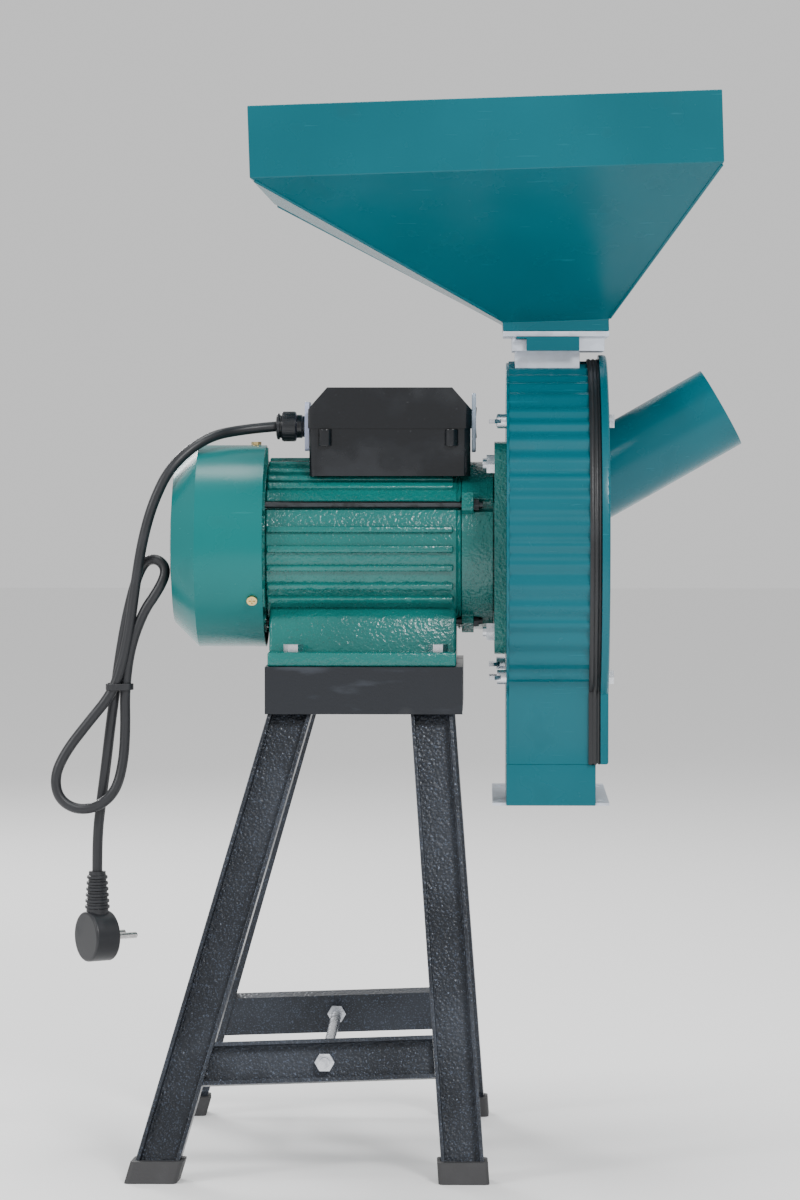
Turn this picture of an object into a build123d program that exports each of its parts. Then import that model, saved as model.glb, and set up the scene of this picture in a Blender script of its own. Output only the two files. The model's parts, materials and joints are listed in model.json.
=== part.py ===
from build123d import *
from math import cos, pi, radians, sin, sqrt, tan
import os

os.makedirs("parts", exist_ok=True)

# Hammer mill on a four-legged stand. Millimetres, +Z up, X along the shaft towards the drum cover,
# origin on the floor under the middle of the machine.

# ---- driving dimensions -------------------------------------------------------------------------
stand_top = 381
shaft_height = 90
axis_z = stand_top + shaft_height

sheet = 1.5
fit = 0.03
seat_gap = 0.2
weld_gap = 0.1

# stand
rail_size, rail_wall = 36, 3
rail_left, rail_right = -132.9, 17.7
rail_half_depth = 88
leg_width, leg_depth, leg_wall = 32, 14, 3
leg_end_z = 360
leg_top_left, leg_top_right = -113.8, -5.8
leg_foot_left, leg_foot_right = -213.7, 19.3
leg_foot_y = 161.5
cross_bar_height_left, cross_bar_height_right = 84, 91
cross_bar_depth = 12
tie_rod_x, tie_rod_z, tie_rod_radius = -85.4, 87.0, 4
foot_width, foot_depth, foot_height, foot_floor = 38, 28, 16, 4

# motor
housing_left, housing_right = -134, 17
shell_radius, shell_wall = 62, 6
fin_radius, fin_thickness, fin_pitch = 69, 3, 15
base_left, base_right = -131, 12.8
foot_plate_half, foot_plate_thickness, foot_hole_radius = 85, 11, 4.3
foot_bolt_x = (-111.8, -1.1)
foot_bolt_y = 70
core_left, core_right, core_bore = -105, -15, 35
air_gap = 0.5
shaft_radius, shoulder_radius = 12, 14
bearing_outer, bearing_width = 26, 15
bearing_front_x, bearing_rear_x = 21, -152
tie_bolt_radius, tie_bolt_circle = 2.5, 66
tie_bolt_angles = (30, 150, 240, 300)
ear_width, ear_height = 18, 16
shield_right = 41
flange_size, flange_left = 162, 42
stud_offset, stud_radius = 64, 4

# fan and its cover
cover_left, cover_shoulder, cover_slope, cover_right = -208.5, -187.5, -206.4, -135.5
fan_cover_radius, fan_face_radius = 78.5, 60
fan_radius, fan_left, fan_right = 65, -184, -162
fan_screw_angles = (90, 210, 330)
fan_screw_x = -143.5

# capacitor box
box_left, box_right, box_half = -100.5, 23.5, 50
box_bottom, box_split, box_rim, box_top = 526, 562.5, 577, 594
box_wall, lid_lip = 3, 1
capacitor_radius, capacitor_y = 16, 21
gland_z, gland_radius, gland_length, gland_plate_thickness = 564, 11.5, 23, 3.5
cord_radius = 4

# mill drum
drum_left, drum_right = 51, 113.5
drum_radius, back_plate = 142.5, 2
duct_half, duct_bottom, duct_top, duct_right = 94, 276, 307.5, 119
rib_radius, rib_pitch, rib_rise = 3, 7.6, 1.3
outlet_flange_width = 10.5
gasket_thickness, gasket_width, gasket_overhang = 9, 15, 3
cover_thickness, cover_rim, cover_overhang = 6, 18, 6
cover_plate = 2
cover_bolt_y, cover_bolt_z, cover_bolt_radius = 95, 97, 3
wing_nut_length, wing_span = 13, 28
tube_radius, tube_tilt, tube_length, tube_start_z = 32.5, 29.6, 103, 528
sieve_radius, sieve_mouth = 115, 66

# rotor in the drum
disc_left, disc_gap, disc_thickness, disc_radius = 62, 31, 5, 74
pin_circle, pin_radius = 64, 5
hammer_reach, hammer_width, hammer_thickness, hammer_step = 41, 24, 4, 10
hammers_per_pin = 3
knife_length, knife_width, knife_thickness = 92, 18, 5
nut_width, nut_thickness = 28, 6

# feed
neck_left, neck_right, neck_half, neck_bottom, neck_top = 57.8, 107.5, 35, 589, 631
collar_left, collar_right, collar_half, collar_bottom, collar_top = 55.5, 126.5, 42, 622, 637
shutter_thickness, shutter_front, lip_left, lip_right, lip_bottom = 1.5, 49, 66.5, 107, 622
hopper_rim_width, hopper_rim_depth, hopper_band = 349, 370, 53
hopper_centre_x, hopper_crease_z, hopper_tilt = 35.8, 752.4, 1.9
throat_left, throat_right, throat_half, throat_height = 48.5, 130, 44.5, 8


def shaft_plane(x):
    """Plane across the shaft at x, with its origin on the shaft's axis."""
    return Plane(origin=(x, 0, axis_z), x_dir=(0, 1, 0), z_dir=(1, 0, 0))


shaft_axis = Axis((0, 0, axis_z), (1, 0, 0))
shaft_section = Plane(origin=(0, 0, axis_z), x_dir=(1, 0, 0), z_dir=(0, -1, 0))


def ring(x, length, outer, inner):
    """A tube round the shaft's axis, as a free solid."""
    with BuildPart(mode=Mode.PRIVATE) as tube:
        with BuildSketch(shaft_plane(x)):
            Circle(outer)
            Circle(inner, mode=Mode.SUBTRACT)
        extrude(amount=length)
    return tube.part


def round_points(radius, angles):
    """Places on a circle round the shaft, in shaft_plane coordinates."""
    return [(radius * cos(radians(a)), radius * sin(radians(a))) for a in angles]


# ---- stand --------------------------------------------------------------------------------------
with BuildPart() as stand_rails:
    for side in (-1, 1):
        outer = side * rail_half_depth
        with BuildSketch(Plane.YZ.offset(rail_left)):
            with BuildLine():
                Polyline(
                    (outer, stand_top), (outer, stand_top - rail_size),
                    (outer - side * rail_wall, stand_top - rail_size),
                    (outer - side * rail_wall, stand_top - rail_wall),
                    (outer - side * rail_size, stand_top - rail_wall),
                    (outer - side * rail_size, stand_top), close=True)
            make_face()
        extrude(amount=rail_right - rail_left)
    inner_half = rail_half_depth - rail_size
    for x, side in ((rail_left, 1), (rail_right, -1)):
        with BuildSketch(Plane.XZ.offset(inner_half)):
            with BuildLine():
                Polyline(
                    (x, stand_top), (x, stand_top - rail_size),
                    (x + side * rail_wall, stand_top - rail_size),
                    (x + side * rail_wall, stand_top - rail_wall),
                    (x + side * rail_size, stand_top - rail_wall),
                    (x + side * rail_size, stand_top), close=True)
            make_face()
        extrude(amount=-2 * inner_half)
    with Locations(*[(x, side * foot_bolt_y, stand_top) for x in foot_bolt_x for side in (-1, 1)]):
        Cylinder(foot_hole_radius, 4 * rail_wall, mode=Mode.SUBTRACT)
stand_rails.part.label = "stand_rails"
export_step(stand_rails.part, "parts/stand_rails.step")

rail_bottom = stand_top - rail_size
leg_top_y = rail_half_depth - rail_wall - leg_depth / 2 - 0.5


def leg_frame(top_x, foot_x, side):
    """Plane across a leg at the floor: x along its web, z up the leg, y towards the outside."""
    foot = Vector(foot_x, side * leg_foot_y, 0)
    top = Vector(top_x, side * leg_top_y, rail_bottom)
    up = (top - foot).normalized()
    along = (Vector(1, 0, 0) - up * up.X).normalized()
    return Plane(origin=foot, x_dir=along, z_dir=up)


leg_frames = [
    (leg_frame(top_x, foot_x, side), side)
    for top_x, foot_x in ((leg_top_left, leg_foot_left), (leg_top_right, leg_foot_right))
    for side in (-1, 1)
]

with BuildPart() as stand_legs:
    for plane, side in leg_frames:
        with BuildSketch(plane):
            Rectangle(leg_width, leg_depth)
            with Locations((0, side * leg_wall)):
                Rectangle(leg_width - 2 * leg_wall, leg_depth, mode=Mode.SUBTRACT)
        extrude(amount=leg_end_z * 1.15)
    split(bisect_by=Plane.XY.offset(leg_end_z), keep=Keep.BOTTOM)
    split(bisect_by=Plane.XY.offset(foot_floor + seat_gap), keep=Keep.TOP)
stand_legs.part.label = "stand_legs"
export_step(stand_legs.part, "parts/stand_legs.step")

with BuildPart() as rubber_feet:
    for plane, side in leg_frames:
        with BuildSketch(plane.offset(-foot_height)):
            RectangleRounded(foot_width, foot_depth, 4)
        extrude(amount=3 * foot_height)
    split(bisect_by=Plane.XY, keep=Keep.TOP)
    split(bisect_by=Plane.XY.offset(foot_height), keep=Keep.BOTTOM)
    for plane, side in leg_frames:
        with BuildPart(mode=Mode.PRIVATE) as socket:
            with BuildSketch(plane.offset(-foot_height)):
                Rectangle(leg_width + 2 * seat_gap, leg_depth + 2 * seat_gap)
            extrude(amount=4 * foot_height)
            split(bisect_by=Plane.XY.offset(foot_floor), keep=Keep.TOP)
        add(socket.part, mode=Mode.SUBTRACT)
rubber_feet.part.label = "rubber_feet"
export_step(rubber_feet.part, "parts/rubber_feet.step")


def on_leg(plane, height):
    """The point of a leg's centre line at a height above the floor."""
    return plane.origin + plane.z_dir * (height / plane.z_dir.Z)


bar_planes = {}
with BuildPart() as cross_bars:
    for side in (-1, 1):
        left = next(p for p, s in leg_frames[:2] if s == side)
        right = next(p for p, s in leg_frames[2:] if s == side)
        start = on_leg(left, cross_bar_height_left)
        end = on_leg(right, cross_bar_height_right)
        run = (end - start).normalized()
        lean = (left.z_dir - run * left.z_dir.dot(run)).normalized()
        bar = Plane(origin=start, x_dir=lean, z_dir=run)
        bar_planes[side] = bar
        facing = 1 if bar.y_dir.Y * side > 0 else -1
        with BuildPart(mode=Mode.PRIVATE) as channel:
            with BuildSketch(bar):
                Rectangle(leg_width, cross_bar_depth)
                with Locations((0, facing * leg_wall)):
                    Rectangle(leg_width - 2 * leg_wall, cross_bar_depth, mode=Mode.SUBTRACT)
            extrude(amount=(end - start).length)
            for leg, direction in ((left, 1), (right, -1)):
                cut = leg.x_dir * direction
                edge = leg.origin + cut * (leg_width / 2 + weld_gap)
                split(bisect_by=Plane(origin=edge, z_dir=cut), keep=Keep.TOP)
        add(channel.part)
    with Locations(Location((tie_rod_x, 0, tie_rod_z), (90, 0, 0))):
        Cylinder(tie_rod_radius + 0.3, 3 * leg_foot_y, mode=Mode.SUBTRACT)
cross_bars.part.label = "cross_bars"
export_step(cross_bars.part, "parts/cross_bars.step")


def bar_face_y(side, offset):
    """Y of the bar's web face (offset from the bar's middle) where the tie rod passes."""
    bar = bar_planes[side]
    facing = 1 if bar.y_dir.Y * side > 0 else -1
    point = bar.origin + bar.y_dir * (facing * offset)
    normal = bar.y_dir
    return (normal.dot(point) - normal.X * tie_rod_x - normal.Z * tie_rod_z) / normal.Y


web_inner = bar_face_y(1, -cross_bar_depth / 2)
web_outer = bar_face_y(1, -cross_bar_depth / 2 + leg_wall)
tie_nut_thickness, tie_nut_width, nut_lean = 6.5, 13, 2.0
rod_half = web_outer + tie_nut_thickness + 6
with BuildPart() as tie_rod:
    with BuildSketch(Plane.XZ.offset(-rod_half)):
        with Locations((tie_rod_x, tie_rod_z)):
            Circle(tie_rod_radius)
    extrude(amount=2 * rod_half)
    for side in (-1, 1):
        for near in (web_outer + nut_lean, web_inner - nut_lean - tie_nut_thickness):
            with BuildSketch(Plane.XZ.offset(-side * near)):
                with Locations((tie_rod_x, tie_rod_z)):
                    RegularPolygon(tie_nut_width / 2, 6, major_radius=False)
                    Circle(tie_rod_radius + fit, mode=Mode.SUBTRACT)
            extrude(amount=-side * tie_nut_thickness)
tie_rod.part.label = "tie_rod"
export_step(tie_rod.part, "parts/tie_rod.step")

# ---- motor --------------------------------------------------------------------------------------
fin_angles = [a for a in range(-45, 226, fin_pitch) if a not in tie_bolt_angles]
base_shoulder, base_neck, pedestal_rise = 61, 52, 45

with BuildPart() as motor_housing:
    with BuildSketch(shaft_plane(housing_left)):
        Circle(shell_radius)
        with PolarLocations(0, 1):
            for a in fin_angles:
                with Locations(Rot(0, 0, a) * Pos((shell_radius + fin_radius) / 2 - 1, 0)):
                    Rectangle(fin_radius - shell_radius + 2, fin_thickness)
    extrude(amount=housing_right - housing_left)
    with BuildSketch(shaft_plane(base_left)):
        with BuildLine():
            Polyline(
                (-base_neck, -pedestal_rise),
                (-base_shoulder, foot_plate_thickness - shaft_height),
                (-foot_plate_half, foot_plate_thickness - shaft_height),
                (-foot_plate_half, -shaft_height), (foot_plate_half, -shaft_height),
                (foot_plate_half, foot_plate_thickness - shaft_height),
                (base_shoulder, foot_plate_thickness - shaft_height),
                (base_neck, -pedestal_rise), close=True)
        make_face()
    extrude(amount=base_right - base_left)
    with BuildSketch(shaft_plane(housing_left)):
        Circle(shell_radius - shell_wall)
        with Locations(*round_points(tie_bolt_circle, tie_bolt_angles)):
            Circle(tie_bolt_radius + seat_gap)
    extrude(amount=housing_right - housing_left, mode=Mode.SUBTRACT)
    hollow_half, hollow_top = foot_bolt_y - 28, -shell_radius - 8
    with BuildSketch(shaft_plane(base_left)):
        with Locations((0, (hollow_top - shaft_height) / 2)):
            Rectangle(2 * hollow_half, shaft_height + hollow_top)
    extrude(amount=base_right - base_left, mode=Mode.SUBTRACT)
    with Locations(*[(x, side * foot_bolt_y, stand_top) for x in foot_bolt_x for side in (-1, 1)]):
        Cylinder(foot_hole_radius + 0.2, 4 * foot_plate_thickness, mode=Mode.SUBTRACT)
motor_housing.part.label = "motor_housing"
export_step(motor_housing.part, "parts/motor_housing.step")

stator_outer = shell_radius - shell_wall - fit
core_length = core_right - core_left
with BuildPart() as stator_core:
    add(ring(core_left, core_length, stator_outer, core_bore))
stator_core.part.label = "stator_core"
export_step(stator_core.part, "parts/stator_core.step")

winding_length, winding_outer, winding_inner = 17, stator_outer - 5, core_bore + 4
with BuildPart() as stator_windings:
    add(ring(core_left - winding_length, winding_length, winding_outer, winding_inner))
    add(ring(core_right, winding_length, winding_outer, winding_inner))
    fillet(stator_windings.edges().filter_by(GeomType.CIRCLE).group_by(Axis.X)[0], 4)
    fillet(stator_windings.edges().filter_by(GeomType.CIRCLE).group_by(Axis.X)[-1], 4)
stator_windings.part.label = "stator_windings"
export_step(stator_windings.part, "parts/stator_windings.step")

with BuildPart() as rotor_core:
    add(ring(core_left, core_length, core_bore - air_gap, shaft_radius + 4 + fit))
    add(ring(core_left - 6, core_length + 12, core_bore - 4, shaft_radius + 4 + fit))
rotor_core.part.label = "rotor_core"
export_step(rotor_core.part, "parts/rotor_core.step")

disc_right = disc_left + 2 * disc_thickness + disc_gap
knife_left = disc_right
shaft_end = knife_left + knife_thickness + nut_thickness + 2
shaft_steps = (
    (fan_left, shaft_radius - 3), (bearing_rear_x - 4, shaft_radius),
    (bearing_rear_x + bearing_width, shaft_radius + 4), (bearing_front_x, shaft_radius),
    (bearing_front_x + bearing_width, shoulder_radius), (disc_left, shaft_radius),
    (knife_left, shaft_radius - 3), (shaft_end, 0))
with BuildPart() as motor_shaft:
    for (start, radius), (end, _) in zip(shaft_steps, shaft_steps[1:]):
        with BuildSketch(shaft_plane(start)):
            Circle(radius)
        extrude(amount=end - start)
    ends = motor_shaft.edges().filter_by(GeomType.CIRCLE).sort_by(Axis.X)
    chamfer([ends[0], ends[-1]], 1)
motor_shaft.part.label = "motor_shaft"
export_step(motor_shaft.part, "parts/motor_shaft.step")

ball_radius, ball_count, race_depth = 3.9, 9, 1.0
ball_circle = (bearing_outer + shaft_radius) / 2
bearing_starts = (bearing_rear_x, bearing_front_x)
race_radius = ball_radius + fit


def bearing_ring(start, outer, inner):
    """One ring of a deep-groove bearing with its ball track."""
    with BuildPart(mode=Mode.PRIVATE) as race:
        add(ring(start, bearing_width, outer, inner))
        with BuildSketch(shaft_section):
            with Locations((start + bearing_width / 2, ball_circle)):
                Circle(race_radius)
        revolve(axis=shaft_axis, mode=Mode.SUBTRACT)
    return race.part


with BuildPart() as bearing_outer_rings:
    for start in bearing_starts:
        add(bearing_ring(start, bearing_outer, ball_circle + ball_radius - race_depth))
bearing_outer_rings.part.label = "bearing_outer_rings"
export_step(bearing_outer_rings.part, "parts/bearing_outer_rings.step")

with BuildPart() as bearing_inner_rings:
    for start in bearing_starts:
        add(bearing_ring(start, ball_circle - ball_radius + race_depth, shaft_radius + fit))
bearing_inner_rings.part.label = "bearing_inner_rings"
export_step(bearing_inner_rings.part, "parts/bearing_inner_rings.step")

ball_angles = [360 * i / ball_count for i in range(ball_count)]
with BuildPart() as bearing_balls:
    for start in bearing_starts:
        with Locations(*[
                (start + bearing_width / 2, y, axis_z + z)
                for y, z in round_points(ball_circle, ball_angles)]):
            Sphere(ball_radius)
bearing_balls.part.label = "bearing_balls"
export_step(bearing_balls.part, "parts/bearing_balls.step")

# The rear shield closes the housing, holds a bearing and carries the fan cover on three lugs.
rear_plate, spigot = 12, 5
rear_left = housing_left - rear_plate
hub_wall = 8
cover_bore = fan_cover_radius - sheet
lug_half = 8
lug_inner, lug_outer = shell_radius - 8, sqrt((cover_bore - seat_gap) ** 2 - lug_half ** 2)
with BuildPart() as rear_end_shield:
    add(ring(rear_left, rear_plate, shell_radius + 2, shaft_radius + 6))
    add(ring(bearing_rear_x, housing_left - bearing_rear_x, bearing_outer + hub_wall, shaft_radius + 6))
    add(ring(housing_left, spigot, shell_radius - shell_wall - fit, shell_radius - shell_wall - 6))
    with BuildSketch(shaft_plane(rear_left)):
        for a in fan_screw_angles:
            with Locations(Rot(0, 0, a) * Pos((lug_inner + lug_outer) / 2, 0)):
                Rectangle(lug_outer - lug_inner, 2 * lug_half)
        for a in tie_bolt_angles:
            with Locations(Rot(0, 0, a) * Pos(tie_bolt_circle - 3, 0)):
                Rectangle(ear_width, ear_height)
        Circle(shell_radius - 4, mode=Mode.SUBTRACT)
    extrude(amount=housing_left - rear_left)
    add(ring(bearing_rear_x - 1, bearing_width + 1, bearing_outer + fit, 0.001), mode=Mode.SUBTRACT)
    with BuildSketch(shaft_plane(rear_left)):
        with Locations(*round_points(tie_bolt_circle, tie_bolt_angles)):
            Circle(tie_bolt_radius + seat_gap)
    extrude(amount=rear_plate, mode=Mode.SUBTRACT)
    for a in fan_screw_angles:
        with Locations(shaft_plane(fan_screw_x).location * Rot(0, 0, a) * Pos(cover_bore, 0) * Rot(0, 90)):
            Cylinder(2 + fit, 30, mode=Mode.SUBTRACT)
rear_end_shield.part.label = "rear_end_shield"
export_step(rear_end_shield.part, "parts/rear_end_shield.step")

# The drive end shield is a bell with a bearing seat and four ears for the tie bolts.
bell_radius, bell_wall = 65.5, 7
with BuildPart() as drive_end_shield:
    with BuildSketch(shaft_section):
        with BuildLine():
            Polyline(
                (housing_right, bell_radius), (shield_right, bell_radius),
                (shield_right, bell_radius - bell_wall - 6),
                (bearing_front_x + bearing_width + 3, bearing_outer + hub_wall),
                (bearing_front_x + bearing_width + 3, shoulder_radius + 2),
                (bearing_front_x + bearing_width, shoulder_radius + 2),
                (bearing_front_x + bearing_width, bearing_outer + fit),
                (bearing_front_x - 1, bearing_outer + fit),
                (bearing_front_x - 1, bearing_outer + hub_wall),
                (housing_right + 9, bell_radius - bell_wall - 8),
                (housing_right, bell_radius - bell_wall), close=True)
        make_face()
    revolve(axis=shaft_axis)
    with BuildSketch(shaft_plane(housing_right)):
        for a in tie_bolt_angles:
            with Locations(Rot(0, 0, a) * Pos(tie_bolt_circle - 3, 0)):
                Rectangle(ear_width, ear_height)
        Circle(bell_radius - 4, mode=Mode.SUBTRACT)
    extrude(amount=9)
    with BuildSketch(shaft_plane(housing_right)):
        with Locations(*round_points(tie_bolt_circle, tie_bolt_angles)):
            Circle(tie_bolt_radius + seat_gap)
    extrude(amount=shield_right - housing_right, mode=Mode.SUBTRACT)
    with BuildSketch(shaft_plane(housing_right + 9)):
        with Locations(*round_points(tie_bolt_circle, tie_bolt_angles)):
            Circle(5.5)
    extrude(amount=shield_right - housing_right, mode=Mode.SUBTRACT)
drive_end_shield.part.label = "drive_end_shield"
export_step(drive_end_shield.part, "parts/drive_end_shield.step")

tie_left, tie_right = rear_left - 4, housing_right + 9
with BuildPart() as motor_tie_bolts:
    with BuildSketch(shaft_plane(tie_left)):
        with Locations(*round_points(tie_bolt_circle, tie_bolt_angles)):
            Circle(tie_bolt_radius)
    extrude(amount=tie_right + 7 - tie_left)
    for start, length in ((tie_left, 4), (tie_right, 4)):
        with BuildSketch(shaft_plane(start)):
            with Locations(*round_points(tie_bolt_circle, tie_bolt_angles)):
                RegularPolygon(4, 6, major_radius=False)
        extrude(amount=length)
motor_tie_bolts.part.label = "motor_tie_bolts"
export_step(motor_tie_bolts.part, "parts/motor_tie_bolts.step")

# Each foot bolt passes the motor's foot and the rail, with a nut below.
bolt_head, bolt_nut, bolt_af = 5.6, 6.5, 13
foot_top = stand_top + foot_plate_thickness
rail_under = stand_top - rail_wall
foot_bolt_places = [(x, side * foot_bolt_y) for x in foot_bolt_x for side in (-1, 1)]
with BuildPart() as foot_bolts:
    with BuildSketch(Plane.XY.offset(foot_top)):
        with Locations(*foot_bolt_places):
            RegularPolygon(bolt_af / 2, 6, major_radius=False)
    extrude(amount=bolt_head)
    with BuildSketch(Plane.XY.offset(rail_under - bolt_nut - 3)):
        with Locations(*foot_bolt_places):
            Circle(4)
    extrude(amount=foot_top - rail_under + bolt_nut + 3)
    with BuildSketch(Plane.XY.offset(rail_under - bolt_nut)):
        with Locations(*foot_bolt_places):
            RegularPolygon(bolt_af / 2, 6, major_radius=False)
            Circle(4 + fit, mode=Mode.SUBTRACT)
    extrude(amount=bolt_nut)
foot_bolts.part.label = "foot_bolts"
export_step(foot_bolts.part, "parts/foot_bolts.step")

# fan and fan cover
fan_blades, fan_hub = 8, 20
with BuildPart() as cooling_fan:
    add(ring(fan_left + 1, fan_right - fan_left - 1, fan_hub, shaft_radius - 3 + fit))
    add(ring(fan_right - 3, 3, fan_radius, shaft_radius))
    with BuildSketch(shaft_plane(fan_left + 4)):
        with PolarLocations((fan_radius + fan_hub) / 2 - 1, fan_blades):
            Rectangle(fan_radius - fan_hub, 3)
    extrude(amount=fan_right - fan_left - 6)
cooling_fan.part.label = "cooling_fan"
export_step(cooling_fan.part, "parts/cooling_fan.step")

dome = 2.1
slot_rings = ((17, 6), (31, 10), (45, 14))
with BuildPart() as fan_cover:
    with BuildSketch(shaft_section):
        with BuildLine():
            outer_line = Polyline(
                (cover_right, fan_cover_radius), (cover_shoulder, fan_cover_radius),
                (cover_slope, fan_face_radius), (cover_left, fan_face_radius - 22), (cover_left, 0))
            offset(outer_line, sheet, side=Side.LEFT)
        make_face()
    revolve(axis=shaft_axis)
    for slot_circle, count in slot_rings:
        with BuildSketch(shaft_plane(cover_left - sheet)):
            with PolarLocations(slot_circle, count):
                SlotOverall(0.62 * 2 * pi * slot_circle / count, 6, rotation=90)
        extrude(amount=4 * sheet + dome, mode=Mode.SUBTRACT)
    for a in fan_screw_angles:
        with Locations(shaft_plane(fan_screw_x).location * Rot(0, 0, a) * Pos(cover_bore, 0) * Rot(0, 90)):
            Cylinder(2 + seat_gap, 12, mode=Mode.SUBTRACT)
fan_cover.part.label = "fan_cover"
export_step(fan_cover.part, "parts/fan_cover.step")

with BuildPart() as fan_cover_screws:
    for a in fan_screw_angles:
        place = shaft_plane(fan_screw_x).location * Rot(0, 0, a)
        with Locations(place * Pos(fan_cover_radius - 6, 0) * Rot(0, 90)):
            Cylinder(2, 12 + 1)
        with Locations(place * Pos(fan_cover_radius + 1.4, 0) * Rot(0, 90)):
            Cylinder(4, 2.4)
            with Locations(Pos(0, 0, 0.9)):
                Box(5, 1, 1, mode=Mode.SUBTRACT)
                Box(1, 5, 1, mode=Mode.SUBTRACT)
fan_cover_screws.part.label = "fan_cover_screws"
export_step(fan_cover_screws.part, "parts/fan_cover_screws.step")

# ---- capacitor box ------------------------------------------------------------------------------
saddle_radius = fin_radius + seat_gap
box_floor_radius = saddle_radius + box_wall
box_middle = (box_left + box_right) / 2
box_length = box_right - box_left
gland_rel = gland_z - axis_z
post_x, post_radius = (box_left + 11, box_right - 11), 5
post_y = box_half - post_radius - 1
gland_bore = cord_radius + 4

with BuildPart() as capacitor_box_base:
    with BuildSketch(Plane.XY.offset(box_bottom)):
        with Locations((box_middle, 0)):
            RectangleRounded(box_length, 2 * box_half, 6)
    extrude(amount=box_split - box_bottom)
    with BuildSketch(Plane.XY.offset(box_bottom - 1)):
        with Locations((box_middle, 0)):
            RectangleRounded(box_length - 2 * box_wall, 2 * (box_half - box_wall), 4)
    extrude(amount=box_split - box_bottom + 2, mode=Mode.SUBTRACT)
    with BuildSketch(shaft_plane(box_left + 1)):
        Circle(box_floor_radius)
        with Locations((0, box_bottom - axis_z - box_floor_radius)):
            Rectangle(3 * box_half, 2 * box_floor_radius, mode=Mode.SUBTRACT)
        Rectangle(2 * box_half - 2, 4 * box_half, mode=Mode.INTERSECT)
    extrude(amount=box_length - 2)
    with BuildSketch(shaft_plane(box_left - 1)):
        Circle(saddle_radius)
    extrude(amount=box_length + 2, mode=Mode.SUBTRACT)
    with BuildSketch(Plane.XY.offset(box_split - 14)):
        with Locations(*[(x, side * post_y) for x in post_x for side in (-1, 1)]):
            Circle(post_radius)
            Circle(2 + fit, mode=Mode.SUBTRACT)
    extrude(amount=14)
    with BuildSketch(shaft_plane(box_left - 1)):
        with Locations((0, gland_rel)):
            Circle(gland_bore)
    extrude(amount=box_wall + 2, mode=Mode.SUBTRACT)
capacitor_box_base.part.label = "capacitor_box_base"
export_step(capacitor_box_base.part, "parts/capacitor_box_base.step")

lid_slant = 14
with BuildPart() as capacitor_box_lid:
    with BuildSketch(Plane.XZ.offset(-box_half - lid_lip)):
        with BuildLine():
            Polyline(
                (box_left - lid_lip, box_split), (box_right + lid_lip, box_split),
                (box_right + lid_lip, box_rim), (box_right - lid_slant, box_top),
                (box_left + lid_slant, box_top), (box_left - lid_lip, box_rim), close=True)
        make_face()
    extrude(amount=2 * (box_half + lid_lip))
    fillet(capacitor_box_lid.edges().filter_by(Axis.Z), 6)
    with BuildSketch(Plane.XZ.offset(-box_half + box_wall)):
        with BuildLine():
            Polyline(
                (box_left + box_wall, box_split), (box_right - box_wall, box_split),
                (box_right - box_wall, box_rim - 1), (box_right - lid_slant - 1, box_top - box_wall),
                (box_left + lid_slant + 1, box_top - box_wall), (box_left + box_wall, box_rim - 1),
                close=True)
        make_face()
    extrude(amount=2 * (box_half - box_wall), mode=Mode.SUBTRACT)
    with BuildSketch(Plane.XY.offset(box_split)):
        with Locations(*[(x, side * post_y) for x in post_x for side in (-1, 1)]):
            Circle(post_radius)
    extrude(amount=box_rim - box_split + 3)
    with BuildSketch(Plane.XY.offset(box_split)):
        with Locations(*[(x, side * post_y) for x in post_x for side in (-1, 1)]):
            Circle(2 + fit)
    extrude(amount=box_top - box_split, mode=Mode.SUBTRACT)
    with BuildSketch(Plane.XY.offset(box_rim)):
        with Locations(*[(x, side * post_y) for x in post_x for side in (-1, 1)]):
            Circle(4.5)
    extrude(amount=box_top - box_rim, mode=Mode.SUBTRACT)
    with BuildSketch(shaft_plane(box_left - 2)):
        with Locations((0, gland_rel)):
            Circle(gland_bore)
    extrude(amount=box_wall + 4, mode=Mode.SUBTRACT)
capacitor_box_lid.part.label = "capacitor_box_lid"
export_step(capacitor_box_lid.part, "parts/capacitor_box_lid.step")

with BuildPart() as box_screws:
    with BuildSketch(Plane.XY.offset(box_split - 12)):
        with Locations(*[(x, side * post_y) for x in post_x for side in (-1, 1)]):
            Circle(2)
    extrude(amount=box_rim - box_split + 12)
    with BuildSketch(Plane.XY.offset(box_rim)):
        with Locations(*[(x, side * post_y) for x in post_x for side in (-1, 1)]):
            Circle(4)
    extrude(amount=2.5)
    with BuildSketch(Plane.XY.offset(box_rim + 1.5)):
        with Locations(*[(x, side * post_y) for x in post_x for side in (-1, 1)]):
            Rectangle(5, 1)
            Rectangle(1, 5)
    extrude(amount=1, mode=Mode.SUBTRACT)
box_screws.part.label = "box_screws"
export_step(box_screws.part, "parts/box_screws.step")

capacitor_left, capacitor_length = box_left + 22, 66
capacitor_rise = sqrt((box_floor_radius + capacitor_radius + seat_gap) ** 2 - capacitor_y ** 2)
with BuildPart() as motor_capacitors:
    with BuildSketch(shaft_plane(capacitor_left)):
        with Locations((-capacitor_y, capacitor_rise), (capacitor_y, capacitor_rise)):
            Circle(capacitor_radius)
    extrude(amount=capacitor_length)
    fillet(motor_capacitors.edges().filter_by(GeomType.CIRCLE), 2)
motor_capacitors.part.label = "motor_capacitors"
export_step(motor_capacitors.part, "parts/motor_capacitors.step")

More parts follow.
